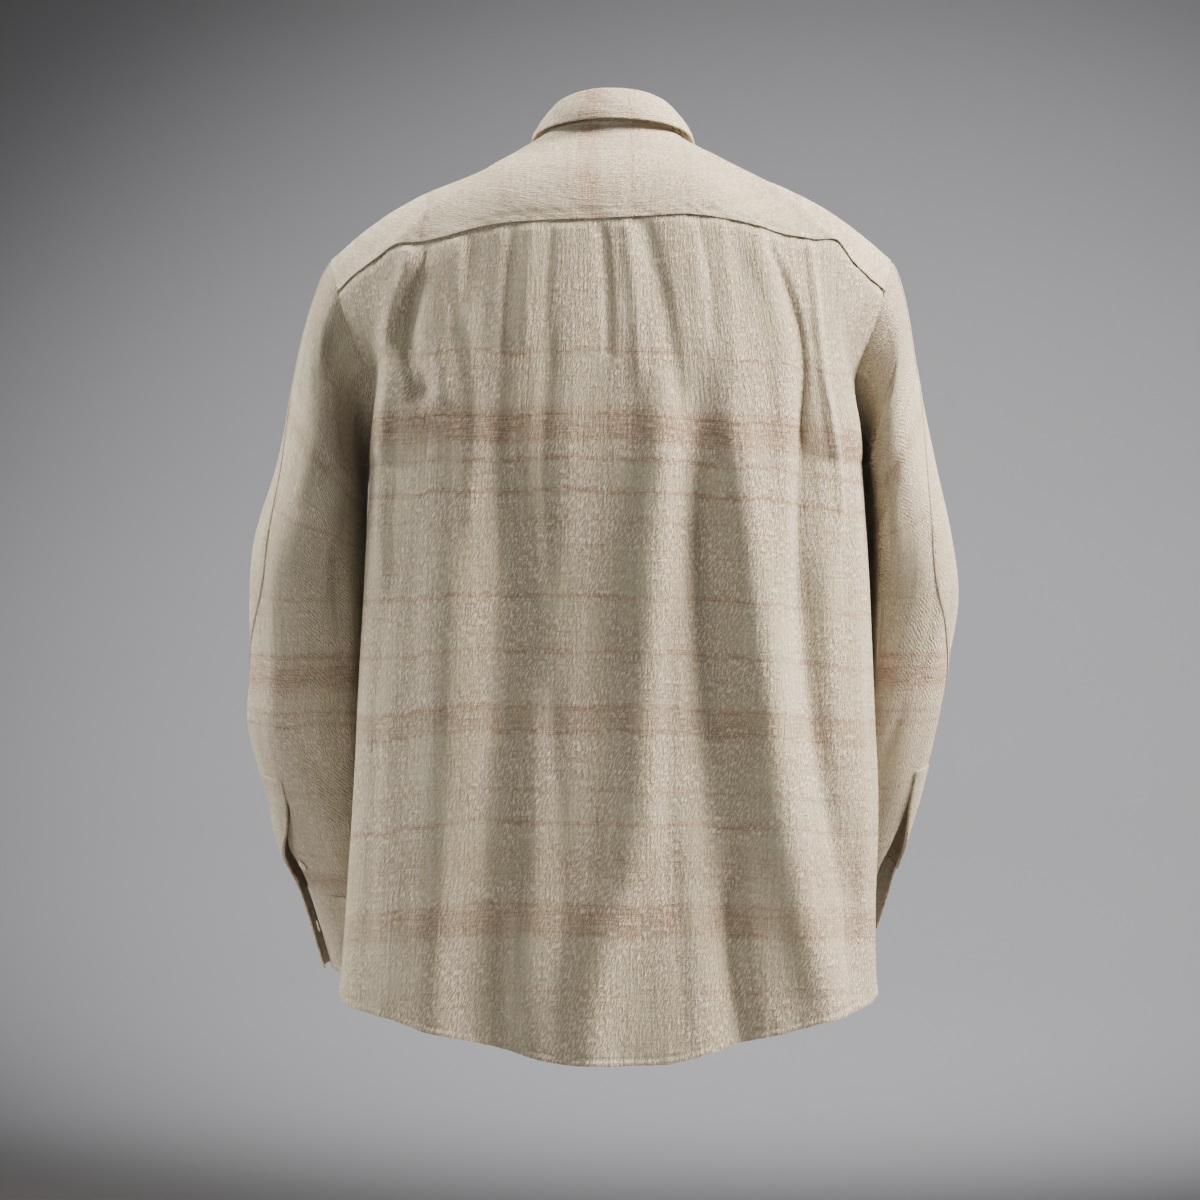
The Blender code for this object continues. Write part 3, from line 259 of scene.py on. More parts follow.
# Slit edges: place down the sleeve, turn of the over edge, turn of the under edge,
# swell of the over edge, sink of the under edge
LEFT_SLIT = (
    (0.70, 54.0, 54.0, 1.00, 1.00),
    (0.725, 52.5, 53.5, 1.03, 0.98),
    (0.75, 50.0, 46.0, 1.06, 0.96),
    (0.80, 34.0, 24.0, 1.10, 0.93),
    (0.84, 16.0, 4.0, 1.12, 0.91),
    (0.88, 8.0, -5.0, 1.12, 0.90),
    (0.94, 10.0, -5.0, 1.11, 0.89),
    (1.00, 16.0, 2.0, 1.09, 0.89),
)
RIGHT_SLIT = (
    (0.70, 44.0, 44.0, 1.00, 1.00),
    (0.75, 39.0, 43.0, 1.03, 0.98),
    (0.80, 28.0, 48.0, 1.05, 0.97),
    (0.84, 14.0, 54.0, 1.07, 0.97),
    (0.88, 2.0, 55.0, 1.08, 0.97),
    (0.94, -4.0, 53.0, 1.09, 0.97),
    (1.00, -9.0, 50.0, 1.08, 0.97),
)
SLIT_REACH = 80.0
SLIT_FADE = 0.28
BACK_TURN = 90.0
UNDER_TURN = -120.0
CLEAR_SOFT = 6.0
PULL_STEP = 0.03
SLEEVE_BACK_LEAN = 0.1
# Share by which each sleeve's back bulges towards the body
SLEEVE_SQUARE = {1: 0.03, -1: 0.14}
SQUARE_FROM = 90.0
SQUARE_TO = 190.0
SQUARE_FADE = 40.0
SQUARE_RISE = 0.12
SQUARE_RUN_OUT = 0.20

# Which part of the armhole each turn of the sleeve meets
ARM_TURNS = (
    (0.00, 196.0), (0.06, 176.0), (0.13, 156.0), (0.20, 136.0), (0.26, 118.0), (0.32, 100.0),
    (0.40, 76.0), (0.46, 44.0), (0.52, 4.0), (0.58, -34.0), (0.65, -66.0), (0.73, -92.0),
    (0.81, -114.0), (0.89, -134.0), (0.95, -150.0), (1.00, -164.0),
)
SLEEVES = {1: LEFT_SLEEVE, -1: RIGHT_SLEEVE}
SLITS = {1: LEFT_SLIT, -1: RIGHT_SLIT}

# Collar: turn, then across, depth and height of the fold and of the leaf's edge
COLLAR_FOLD = (
    (-30.0, -27.0, 52.0, 36.5),
    (0.0, 0.0, 57.5, 39.0),
    (45.0, 38.0, 41.0, 33.5),
    (80.0, 52.5, 8.0, 23.5),
    (100.0, 53.0, -9.0, 17.0),
    (135.0, 39.5, -39.0, 0.0),
    (172.0, 7.5, -54.5, -15.5),
    (188.0, -7.5, -54.5, -15.5),
    (200.0, -18.5, -52.0, -14.0),
)
COLLAR_EDGE = (
    (-30.0, -34.0, 64.5, 12.5),
    (0.0, 0.0, 71.5, 14.0),
    (45.0, 46.5, 53.0, 10.5),
    (80.0, 63.5, 12.0, 5.0),
    (100.0, 66.5, -12.0, -2.0),
    (135.0, 62.0, -52.0, -28.0),
    (172.0, 46.0, -95.0, -72.0),
)
RIGHT_COLLAR_SPREAD = 1.045
STAND_TOP_INSET = 3.2
STAND_TOP_DROP = 2.0
LEAF_END_TURN = 167.0
LEAF_SWELL = 2.0
LEAF_SEAM_GAP = 1.9
STAND_LAP_LIFT = 2.0
STAND_LAP_TURN = 138.0
STAND_LAP_REACH = 26.0
LEAF_LAP_SHARE = 0.6
LEAF_CROWN = 1.0
LEAF_CLEAR = 0.3
NECK_RISE = -1.2

# Soft creases sewn or worn into the back: name, depth, reach towards the right, reach towards the left,
# then height and place across. A short reach on one side makes the pressed edge of a pleat
BACK_CREASES = (
    ("left pleat edge", -2.4, 4.5, 2.2,
        ((-204.0, 160.0), (-186.0, 164.5), (-160.0, 164.0), (-132.0, 158.0), (-100.0, 149.5))),
    ("left pleat fullness", 1.8, 14.0, 14.0,
        ((-196.0, 156.0), (-167.0, 163.0), (-139.0, 162.0), (-106.0, 153.0))),
    ("left pleat ridge", 4.2, 6.0, 8.0,
        ((-350.0, 184.0), (-240.0, 182.0), (-200.0, 179.0), (-160.0, 179.0), (-110.0, 163.0))),
    ("left pleat hook", -1.5, 6.0, 7.0,
        ((-176.0, 122.0), (-184.0, 133.0), (-196.0, 146.0), (-192.0, 156.0), (-170.0, 161.0))),
    ("left pleat drop", 2.2, 9.0, 9.0,
        ((-206.0, 132.0), (-180.0, 134.0), (-150.0, 136.0), (-110.0, 138.0))),
    ("left pleat inner ridge", 2.2, 9.0, 6.0,
        ((-300.0, 112.0), (-230.0, 108.0), (-180.0, 112.0), (-130.0, 120.0), (-100.0, 124.0))),
    ("right pleat edge", -3.4, 2.2, 7.0,
        ((-240.0, -152.0), (-190.0, -155.0), (-150.0, -149.0), (-115.0, -137.0), (-95.0, -128.0))),
    ("right pleat fullness", 3.4, 14.0, 14.0,
        ((-330.0, -152.0), (-240.0, -152.5), (-189.0, -153.0), (-148.0, -147.0), (-99.0, -125.0))),
    ("right pleat ridge", 3.8, 3.6, 3.6,
        ((-300.0, -184.0), (-260.0, -180.0), (-220.0, -174.0), (-180.0, -168.0), (-130.0, -163.5),
        (-95.0, -160.0))),
    ("right pleat inner ridge", 2.2, 8.0, 8.0,
        ((-340.0, -136.0), (-230.0, -138.0), (-150.0, -132.0), (-105.0, -116.0))),
    ("right deep trough", -0.6, 19.0, 19.0,
        ((-725.0, -102.0), (-614.0, -90.0), (-495.0, -79.6), (-345.0, -72.0), (-200.0, -65.0))),
    ("right high crest", 3.2, 18.0, 18.0,
        ((-700.0, -166.0), (-615.0, -148.0), (-496.0, -128.0), (-345.0, -110.0), (-240.0, -100.0))),
    ("middle high crest", 2.6, 18.0, 18.0,
        ((-733.0, 17.0), (-654.0, 5.0), (-575.0, -20.0), (-456.0, -28.0), (-345.0, -32.0),
        (-240.0, -40.0))),
    ("left deep trough", -0.6, 20.0, 20.0,
        ((-731.0, 92.0), (-694.0, 98.0), (-575.0, 92.0), (-456.0, 84.4), (-330.0, 82.0))),
    ("left high crest", 2.4, 18.0, 18.0,
        ((-695.0, 142.0), (-536.0, 132.0), (-416.0, 128.0), (-257.0, 128.0))),
    ("gather 1", -2.6, 4.0, 5.0, ((-175.0, 2.0), (-130.0, 3.0), (-76.0, 8.0))),
    ("gather 2", -3.0, 6.0, 9.0, ((-205.0, -52.0), (-150.0, -44.0), (-76.0, -27.0))),
    ("gather 3", 2.0, 5.0, 5.0, ((-190.0, -22.0), (-130.0, -18.0), (-76.0, -12.0))),
    ("gather 4", -1.6, 4.0, 4.0, ((-150.0, 52.0), (-110.0, 50.0), (-78.0, 48.0))),
    ("gather 5", -1.8, 4.0, 4.5, ((-170.0, 86.0), (-120.0, 84.0), (-80.0, 80.0))),
    ("gather 6", 1.5, 5.0, 5.0, ((-165.0, 68.0), (-120.0, 67.0), (-78.0, 64.0))),
    ("gather 7", -1.7, 4.0, 4.5, ((-160.0, -82.0), (-115.0, -78.0), (-76.0, -70.0))),
    ("gather 8", 1.5, 5.0, 5.0, ((-185.0, -98.0), (-130.0, -95.0), (-78.0, -88.0))),
    ("gather 9", -1.4, 4.0, 4.0, ((-140.0, 118.0), (-110.0, 116.0), (-82.0, 112.0))),
    ("small column left", -1.8, 6.0, 8.0, ((-330.0, 88.0), (-255.0, 90.0), (-185.0, 86.0))),
    ("small column middle", -1.8, 5.0, 6.0, ((-345.0, 50.0), (-270.0, 53.0), (-180.0, 50.0))),
    ("small column low", -1.6, 9.0, 7.0, ((-700.0, 44.0), (-600.0, 40.0), (-480.0, 46.0))),
    ("small crest low", 1.5, 9.0, 9.0, ((-690.0, 68.0), (-590.0, 62.0), (-470.0, 64.0))),
    ("small trough right", -1.8, 7.0, 9.0, ((-690.0, -56.0), (-560.0, -48.0), (-420.0, -46.0))),
    ("right side crease", -1.6, 6.0, 9.0, ((-600.0, -196.0), (-470.0, -190.0), (-330.0, -188.0))),
    ("left side crease", -1.6, 9.0, 6.0, ((-640.0, 196.0), (-520.0, 190.0), (-380.0, 186.0))),
    ("left hem dent", -2.6, 9.0, 9.0, ((-760.0, 82.0), (-722.0, 80.0), (-690.0, 84.0), (-640.0, 86.0))),
    ("right hem dent", -3.4, 9.0, 8.0,
        ((-760.0, -108.0), (-716.0, -106.0), (-680.0, -98.0), (-620.0, -92.0))),
)

# Small waves of the cloth: width, length and depth
CRINKLES = (
    (38.0, 190.0, 0.95),
    (17.0, 90.0, 0.55),
    (8.5, 42.0, 0.26),
)
CREASE_RUN_OUT = 0.22

# Creases of the sleeves: name, depth, half width, then the two ends as turn and place down the sleeve
SLEEVE_CREASES = {
    1: (
        ("wrist crease", -1.8, 4.5, (104.0, 0.715), (150.0, 0.735)),
        ("wrist ridge", 1.2, 5.0, (100.0, 0.745), (156.0, 0.765)),
        ("elbow crease front", -3.4, 7.0, (-150.0, 0.46), (-50.0, 0.52)),
        ("elbow crease front low", -2.8, 7.0, (-140.0, 0.55), (-60.0, 0.53)),
        ("elbow ridge front", 2.6, 8.0, (-150.0, 0.505), (-60.0, 0.50)),
        ("drag from underarm", -2.2, 8.0, (160.0, 0.10), (60.0, 0.34)),
        ("drag ridge", 1.8, 9.0, (150.0, 0.16), (70.0, 0.40)),
        ("fall inside", -2.4, 9.0, (128.0, 0.25), (118.0, 0.62)),
        ("fall outside", 1.6, 10.0, (66.0, 0.30), (58.0, 0.66)),
        ("forearm fold", -1.8, 7.0, (84.0, 0.58), (104.0, 0.72)),
    ),
    -1: (
        ("drag from underarm", -2.6, 5.5, (158.0, 0.16), (76.0, 0.09)),
        ("drag ridge", 2.0, 6.0, (156.0, 0.20), (80.0, 0.13)),
        ("drag low", -2.2, 8.0, (150.0, 0.30), (84.0, 0.22)),
        ("elbow crease front", -3.4, 7.0, (-150.0, 0.47), (-56.0, 0.52)),
        ("elbow crease front low", -2.8, 7.0, (-140.0, 0.56), (-66.0, 0.54)),
        ("elbow ridge front", 2.6, 8.0, (-150.0, 0.515), (-66.0, 0.51)),
        ("fall inside", -2.0, 8.0, (122.0, 0.32), (112.0, 0.60)),
        ("fall outside", 1.6, 9.0, (60.0, 0.30), (50.0, 0.62)),
        ("forearm fold", -1.8, 6.0, (70.0, 0.55), (96.0, 0.68)),
    ),
}
SLEEVE_RADIUS = 62.0
SLEEVE_LENGTH = 620.0
CUFF_TUCK = 0.006

# Woven bands: middle, half width and strength; heights on the body, places down the sleeve,
# across on the yoke
BACK_BANDS = (
    (-182.0, 2.0, 0.55), (-228.0, 2.4, 0.95), (-233.0, 2.4, 0.85), (-238.0, 2.4, 0.70), (-243.0, 14.0,
        0.62),
    (-251.0, 3.0, 0.80), (-268.0, 1.8, 0.70), (-294.0, 2.0, 0.75), (-317.0, 1.8, 0.35),
    (-377.0, 2.2, 0.60), (-422.0, 2.0, 0.55), (-466.0, 2.4, 0.90), (-471.0, 2.4, 0.60), (-478.0, 12.0,
        0.42),
    (-486.0, 2.4, 0.60), (-504.0, 2.2, 0.60), (-534.0, 2.0, 0.30),
    (-560.0, 2.2, 0.65), (-590.0, 24.0, 0.25), (-603.0, 2.2, 0.60), (-625.0, 2.6, 0.90), (-631.0, 2.6,
        0.75),
    (-638.0, 14.0, 0.50), (-645.0, 2.8, 0.75), (-690.0, 2.4, 0.50), (-705.0, 2.0, 0.35),
)
SLEEVE_BANDS = (
    (-120.0, 2.4, 0.50), (-142.0, 9.0, 0.40), (-196.0, 2.4, 0.45), (-268.0, 2.4, 0.45), (-316.0, 4.0, 0.70),
    (-326.0, 3.0, 0.60), (-334.0, 18.0, 0.60), (-362.0, 2.4, 0.55), (-372.0, 2.4, 0.50),
    (-430.0, 2.4, 0.45), (-500.0, 3.0, 0.40), (-532.0, 16.0, 0.55),
)
YOKE_BANDS = (
    (-150.0, 2.4, 0.45), (-58.0, 2.0, 0.50), (-16.0, 2.0, 0.50), (18.0, 11.0, 0.55), (11.0, 2.0,
        0.65), (25.0, 2.0, 0.60),
    (34.0, 2.2, 0.50), (88.0, 2.4, 0.40), (150.0, 3.0, 0.55),
)
TRIM_BANDS = ((-30.0, 3.0, 0.35), (-240.0, 8.0, 0.50), (-400.0, 3.0, 0.40), (-640.0, 8.0, 0.50))
# Droop of the bands from level: share of the half width (right -1, left 1), then millimetres up
BAND_DROOP_UPPER = ((-1.0, -13.0), (-0.6, -9.0), (-0.2, 1.0), (0.2, 4.0), (0.6, 1.0), (1.0, -4.0))
BAND_DROOP_LOWER = ((-1.0, -13.0), (-0.6, -3.0), (-0.2, 4.0), (0.1, 5.0), (0.6, -4.0), (1.0, -16.0))
BAND_DROOP_FROM = -360.0
BAND_DROOP_REACH = 240.0

ECRU = "#DDD0BB"
ECRU_SHADE = "#B5A88C"
ECRU_LIGHT = "#EFE6D6"
ECRU_WARM = "#D5C3A4"
ECRU_COOL = "#C4BEA6"
BAND_TAN = "#94583A"
# Colour of the painted shade laid into the hollows of the grain, and how strongly it is laid in
THREAD_SHADOW = "#736C50"
GRAIN_LEAN = 0.30
GRAIN_SHADE_DEPTH = 0.54
BAND_SWAY = 16.0
BAND_FRAY = 7.0
BANDS_IN_A_RAMP = 9
TWILL_SLANT = 50.0
TWILL_PITCH = 2.7
TWILL_WAVER = 4.5

# Seams and stitches
HEM_DEPTH = 6.0
HEM_FULL = 0.55
HEM_GROOVE = 0.55
YOKE_STITCH_IN = 7.2
YOKE_GROOVE = 0.5
LEDGE = 1.9
SLEEVE_LEDGE = 0.8
LEDGE_REACH = 9.0
HEM_STITCH_IN = 0.9
HEM_GROOVE_REACH = 1.3
HEM_FULL_IN = 2.4
HEM_FULL_REACH = 2.2
YOKE_GROOVE_REACH = 1.5
YOKE_EDGE_IN = 1.6
YOKE_EDGE_REACH = 1.2
YOKE_EDGE_SHARE = 0.6
THREAD_UP = 0.12
SEAM_THREAD_UP = 0.42
SEAM_WALL = 0.6
ALLOWANCE = 0.3
SEAM_REACH = 3.2
SEAM_LIFT = 0.9
STITCH_STEP = 3.0
STITCH_LENGTH = 2.3
THREAD_WIDTH = 0.5

# Buttons
BUTTON_THICK = 2.2
BUTTON_SIDES = 28
HOLE_RING = 1.25
HOLE_RADIUS = 0.5
BUTTON_STAND = 1.9
COLLAR_BUTTON_COLUMN = 5.0
CUFF_BUTTON_IN = 4
SLIT_BUTTON_ROW = 23.0
SLIT_BUTTON_COLUMN = 6.5
# Section of a button from the underside's middle over the rim: radius, then height
BUTTON_SECTION = (
    (0.0, -0.9), (3.6, -0.95), (4.7, -0.5), (5.15, 0.05), (5.1, 0.55), (4.75, 0.98), (4.3, 1.05), (3.9,
        0.85),
    (3.5, 0.5), (2.9, 0.32), (0.0, 0.28),
)
COLLAR_COLUMNS = 70
NECK_MIDDLE = np.array([0.0, 0.0, 0.0])

# Area of each piece as far as it shows, in square metres, then its longest row and its longest column in
# millimetres
CLOTH_AREAS = {}

# Studio: section of the floor as radius and height, then the lamps: place, aim, width, power, tint and cone
FLOOR_SECTION = (
    (0.0, -1.3), (1.2, -1.3), (2.4, -1.3), (3.4, -1.26), (4.2, -1.12), (4.8, -0.88), (5.2, -0.55), (5.5,
        -0.1),
    (5.65, 0.5), (5.7, 3.2),
)
LAMPS = (
    ("key lamp", (-2.75, 0.55, 2.05), (0.0, 0.0, -0.15), 2.0, 3400.0, "#FFF1E3", 46.0),
    ("fill lamp", (2.2, 2.3, 0.1), (0.1, 0.0, -0.4), 1.8, 180.0, "#F6F3EA", 44.0),
    ("front key lamp", (2.6, -1.0, 1.7), (0.0, 0.0, -0.25), 1.6, 1150.0, "#FFF6EC", 44.0),
    ("front fill lamp", (-2.4, -2.0, 0.4), (0.0, 0.0, -0.3), 1.2, 64.0, "#F0F2F4", 40.0),
    ("background lamp", (0.0, -0.9, 1.9), (-0.45, -5.0, -1.05), 0.6, 1150.0, "#FFFFFF", 66.0),
    ("front background lamp", (0.0, 0.9, 1.9), (0.45, 5.0, -1.05), 0.6, 1000.0, "#FFFFFF", 74.0),
    ("left background lamp", (0.9, 0.0, 1.9), (5.0, -0.6, -1.05), 0.6, 900.0, "#FFFFFF", 74.0),
    ("right background lamp", (-0.9, 0.0, 1.9), (-5.0, -0.6, -1.05), 0.6, 900.0, "#FFFFFF", 74.0),
)
ROOM_TINT = "#CACAC5"
ROOM_STRENGTH = 0.10
CAMERA_ANGLE = 18.85
CAMERA_PLACE = (0.0091, 3.0, -0.3768)


def spline(rows, at):
    """Smooth curve through a table's rows, read at values of its first column."""
    data = np.asarray(rows, dtype=float)
    key, value = data[:, 0], data[:, 1:]
    gap = np.diff(key)
    slope = np.diff(value, axis=0) / gap[:, None]
    tangent = np.empty_like(value)
    tangent[0], tangent[-1] = slope[0], slope[-1]
    near, far = gap[:-1, None], gap[1:, None]
    tangent[1:-1] = (slope[:-1] * far + slope[1:] * near) / (near + far)
    at = np.clip(np.asarray(at, dtype=float), key[0], key[-1])
    i = np.clip(np.searchsorted(key, at, side="right") - 1, 0, len(key) - 2)
    t = ((at - key[i]) / gap[i])[..., None]
    h = gap[i][..., None]
    start = (2 * t ** 3 - 3 * t ** 2 + 1) * value[i] + (t ** 3 - 2 * t ** 2 + t) * h * tangent[i]
    end = (3 * t ** 2 - 2 * t ** 3) * value[i + 1] + (t ** 3 - t ** 2) * h * tangent[i + 1]
    return start + end


def ease(t):
    t = np.clip(t, 0.0, 1.0)
    return t * t * (3.0 - 2.0 * t)


def graded(count, close_from, close_steps):
    """Shares from 0 to 1 whose last few steps lie close together, beside a seam or hem."""
    wide = np.linspace(0.0, close_from, count - close_steps)
    return np.concatenate([wide, np.linspace(close_from, 1.0, close_steps + 1)[1:]])


def evenly(curve, shares):
    """Points of a curve at shares of its length."""
    curve = np.asarray(curve, dtype=float)
    step = np.linalg.norm(np.diff(curve, axis=0), axis=1)
    along = np.concatenate(([0.0], np.cumsum(step)))
    along /= along[-1]
    return np.stack([np.interp(shares, along, curve[:, k]) for k in range(curve.shape[1])], axis=-1)


def sway(start, end, start_pull, end_pull, t):
    """Cubic from start to end leaving and arriving along the two pulls."""
    t = np.asarray(t)[..., None]
    return (
        (2 * t ** 3 - 3 * t ** 2 + 1) * start
        + (t ** 3 - 2 * t ** 2 + t) * start_pull
        + (3 * t ** 2 - 2 * t ** 3) * end
        + (t ** 3 - t ** 2) * end_pull
    )


def body_ring(height, turn):
    """Point of the body at a height and a turn from the centre back, positive to the left."""
    row = spline(BODY, height)
    turn = np.radians(turn)
    s, c = np.sin(turn), np.cos(turn)
    half = np.where(s >= 0.0, row[..., 0], row[..., 1])
    middle, back, front = row[..., 2], row[..., 3], row[..., 4]
    square = np.where(c >= 0.0, BACK_SQUARE, FRONT_SQUARE)
    across = half * np.sign(s) * np.abs(s) ** square
    depth = np.where(c >= 0.0, back - middle, middle - front) * np.sign(c) * np.abs(c) ** square
    return np.stack([across, middle + depth, np.broadcast_to(height, across.shape)], axis=-1)


def side_width(height, depth, side):
    """Half width of the body at a height and depth, in front of its widest line."""
    row = spline(BODY, height)
    half = row[..., 0] if side > 0 else row[..., 1]
    middle, back, front = row[..., 2], row[..., 3], row[..., 4]
    reach = np.where(depth >= middle, back - middle, middle - front)
    square = np.where(depth >= middle, BACK_SQUARE, FRONT_SQUARE)
    share = np.clip(np.abs(depth - middle) / reach, 0.0, 1.0)
    return half * (1.0 - share ** (2.0 / square)) ** (square / 2.0)


def armhole(t, side):
    """Armhole seam on one side; the right one sits a little wider low down."""
    point = spline(ARMHOLE, t)
    if side < 0:
        wide = RIGHT_UNDERARM_WIDER * ease((-point[..., 2] - 150.0) / 100.0)
        point = point + np.stack([wide, wide * 0.0, wide * 0.0], axis=-1)
    return point * np.array([side, 1.0, 1.0])


def yoke_seam(across):
    across = np.clip(across, -SEAM_HALF_WIDTH, SEAM_HALF_WIDTH)
    height = spline(YOKE_SEAM, across)[..., 0]
    share = np.abs(across) / SEAM_HALF_WIDTH
    depth = SEAM_CORNER_DEPTH + (SEAM_BACK_DEPTH - SEAM_CORNER_DEPTH) * (1.0 - share ** SEAM_DEPTH_POWER)
    return np.stack([across, depth, height], axis=-1)


def fold_push(folds, across, height):
    """Sum of the folds' push at points of a panel."""
    total = np.zeros(np.shape(across))
    for _, push, width, path in folds:
        low, high = path[0][0], path[-1][0]
        line = spline(path, height)[..., 0]
        place = (height - low) / (high - low)
        below = 1.0 if low < FOLD_HEM_HEIGHT else ease(1.0 + place / FOLD_LOW_FADE)
        fade = spline(FOLD_FADE, np.clip(place, 0.0, 1.0))[..., 0] * below
        fade = np.where(place > 1.0, 0.0, fade)
        total = total + push * fade * np.exp(-(((across - line) / width) ** 2))
    return total


def normals(points):
    """Unit normals of a grid of points, turned outwards later by the caller's order."""
    down = np.gradient(points, axis=0)
    along = np.gradient(points, axis=1)
    n = np.cross(along, down)
    return n / np.maximum(np.linalg.norm(n, axis=-1, keepdims=True), 1e-9)


def drawn_back(edge, inner, length):
    """An edge of a grid moved towards the next line, by a length measured square to the edge."""
    step = inner - edge
    step = step / np.maximum(np.linalg.norm(step, axis=-1, keepdims=True), 1e-6)
    tangent = np.gradient(edge, axis=0)
    tangent = tangent / np.maximum(np.linalg.norm(tangent, axis=-1, keepdims=True), 1e-6)
    slant = np.linalg.norm(np.cross(step, tangent), axis=-1)
    return edge + step * (length / np.maximum(slant, LEAST_SLANT))[:, None]


def trim_edges(points, first=0.0, last=0.0, top=0.0, bottom=0.0):
    """Draw a grid's four edges back by the given lengths."""
    points = points.copy()
    points[:, 0] = drawn_back(points[:, 0], points[:, 1], first)
    points[:, -1] = drawn_back(points[:, -1], points[:, -2], last)
    points[0] = drawn_back(points[0], points[1], top)
    points[-1] = drawn_back(points[-1], points[-2], bottom)
    return points


def chest_row(turns, share):
    """Row of the body at underarm height, drawn to the armholes' lowest points."""
    row = body_ring(np.full(np.shape(turns), CHEST_Z), turns)
    for side in (-1.0, 1.0):
        end = body_ring(np.array(CHEST_Z), np.array(side * SIDE_SEAM_ANGLE))
        pull = 1.0 - ease(np.abs(share - side) / CHEST_PULL_REACH)
        row = row + (armhole(0.0, side) - end) * pull[..., None]
    return row


def turns_by_length(first, last, share):
    """Turns of the chest ring at shares of its length between two turns."""
    fine = np.linspace(first, last, 721)
    ring = body_ring(np.full(fine.shape, CHEST_Z), fine)
    length = np.concatenate(([0.0], np.cumsum(np.linalg.norm(np.diff(ring, axis=0), axis=1))))
    return np.interp(share, length / length[-1], fine), length[-1]


def seam_points(share):
    """Points of the yoke seam at shares from the right corner (-1) to the left (1)."""
    line = yoke_seam(np.linspace(-SEAM_HALF_WIDTH, SEAM_HALF_WIDTH, 801))
    return evenly(line, (share + 1.0) / 2.0)


def below_chest(chest, hem, turn, rows):
    """Rows of a panel from the chest down to its hem."""
    down = graded(rows, 0.974, 10)[:, None]
    height = CHEST_Z + (hem[None] - CHEST_Z) * down
    lower = body_ring(height, np.broadcast_to(turn, height.shape))
    return lower + (chest[None] - lower[:1]) * (1.0 - ease(down * CHEST_FADE))[..., None]


def drawn_to(body, edge, column, distance):
    """Bend a panel so that one of its side columns follows an edge."""
    away = edge - body[:, column]
    pull = (1.0 - ease(distance / EDGE_REACH))[None, :, None]
    return body + away[:, None, :] * pull


def back_panel(share, lower_rows, upper_rows):
    """Grid of the back, from the yoke seam down to the hem, right side to left."""
    turn, _ = turns_by_length(-SIDE_SEAM_ANGLE, SIDE_SEAM_ANGLE, (share + 1.0) / 2.0)
    chest = chest_row(turn, share)
    top = seam_points(share)
    v = graded(upper_rows, 0.94, 10)
    lean = np.broadcast_to(BACK_LEAN, chest.shape)
    rise = np.array(CHEST_RISE)
    steps = np.broadcast_to(v[:, None], (upper_rows, len(share)))
    body = sway(chest[None], top[None], rise, lean[None], steps)
    seam_t = np.linspace(0.0, BACK_CORNER, 201)
    for side, column in ((-1.0, 0), (1.0, -1)):
        body = drawn_to(body, evenly(armhole(seam_t, side), v), column, np.abs(share - side))
    hem = spline(HEM_BACK, np.abs(share))[..., 0]
    points = np.concatenate([body[::-1], below_chest(chest, hem, turn, lower_rows)[1:]], axis=0)
    side_fade = ease((1.0 - np.abs(share)) / BACK_SIDE_FADE)
    top_fade = np.concatenate([ease(v * BACK_TOP_FADE), np.ones(lower_rows - 1)])
    push = fold_push(BACK_FOLDS, points[..., 0], points[..., 2]) * side_fade[None] * top_fade[:, None]
    return points + outward(points, BODY_MIDDLE) * push[..., None]


def front_seam(r):
    """Seam of yoke and front on the left, from the neck out to the armhole."""
    start = spline(NECK, np.array(NECK_FRONT_TURN))
    end = armhole(np.array(FRONT_CORNER), 1.0)
    r = np.asarray(r)[..., None]
    lift = np.array(FRONT_SEAM_SWELL) * np.sin(math.pi * r ** SWELL_SKEW)
    return start + (end - start) * r + lift


def front_panel(side, neck_turns, seam_shares, lower_rows, upper_rows, lift=0.0):
    """Grid of one front, from the neck and yoke seam down to the hem, overlap edge to side seam."""
    neck = spline(NECK, neck_turns)
    top = np.concatenate([neck, front_seam(seam_shares)[1:]], axis=0) * np.array([side, 1.0, 1.0])
    fine = np.linspace(OVERLAP_TURNS[0], OVERLAP_TURNS[1], 201)
    ring = body_ring(np.full(fine.shape, CHEST_Z), fine * side)
    first = float(np.interp(-OVERLAP, ring[:, 0] * side, fine))
    _, length = turns_by_length(first, SIDE_SEAM_ANGLE, np.array([0.0]))
    bands = OVERLAP * np.arange(BAND_STEPS + 1) / BAND_STEPS * 2.0 / length
    share = np.concatenate([bands, np.linspace(bands[-1], 1.0, len(top) - BAND_STEPS)[1:]])
    turn, _ = turns_by_length(first, SIDE_SEAM_ANGLE, share)
    turn = turn * side
    chest = chest_row(turn, side * (2.0 - share))
    v = graded(upper_rows, 0.94, 10)
    fore = FRONT_LEAN_MIDDLE + (FRONT_LEAN_SIDE - FRONT_LEAN_MIDDLE) * share
    lean = np.stack([0.0 * share, fore, np.full(share.shape, FRONT_LEAN_UP)], axis=-1)
    rise = np.array(CHEST_RISE)
    steps = np.broadcast_to(v[:, None], (upper_rows, len(share)))
    body = sway(chest[None], top[None], rise, lean[None], steps)
    edge = evenly(armhole(np.linspace(1.0, FRONT_CORNER, 201), side), v)
    body = drawn_to(body, edge, -1, 1.0 - share)
    hem = spline(HEM_FRONT, share)[..., 0]
    points = np.concatenate([body[::-1], below_chest(chest, hem, turn, lower_rows)[1:]], axis=0)
    centre_fade = ease((np.abs(points[..., 0]) - FRONT_CENTRE_CLEAR) / FRONT_CENTRE_FADE)
    side_fade = ease((1.0 - share) / FRONT_SIDE_FADE)[None]
    top_fade = np.concatenate([ease(v * FRONT_TOP_FADE), np.ones(lower_rows - 1)])[:, None]
    push = fold_push(FRONT_FOLDS, points[..., 0], points[..., 2]) * side_fade * centre_fade * top_fade
    push = push + lift * (1.0 - ease((points[..., 0] * side - OVERLAP) / OVERLAP_FADE))
    return points + outward(points, BODY_MIDDLE) * push[..., None]


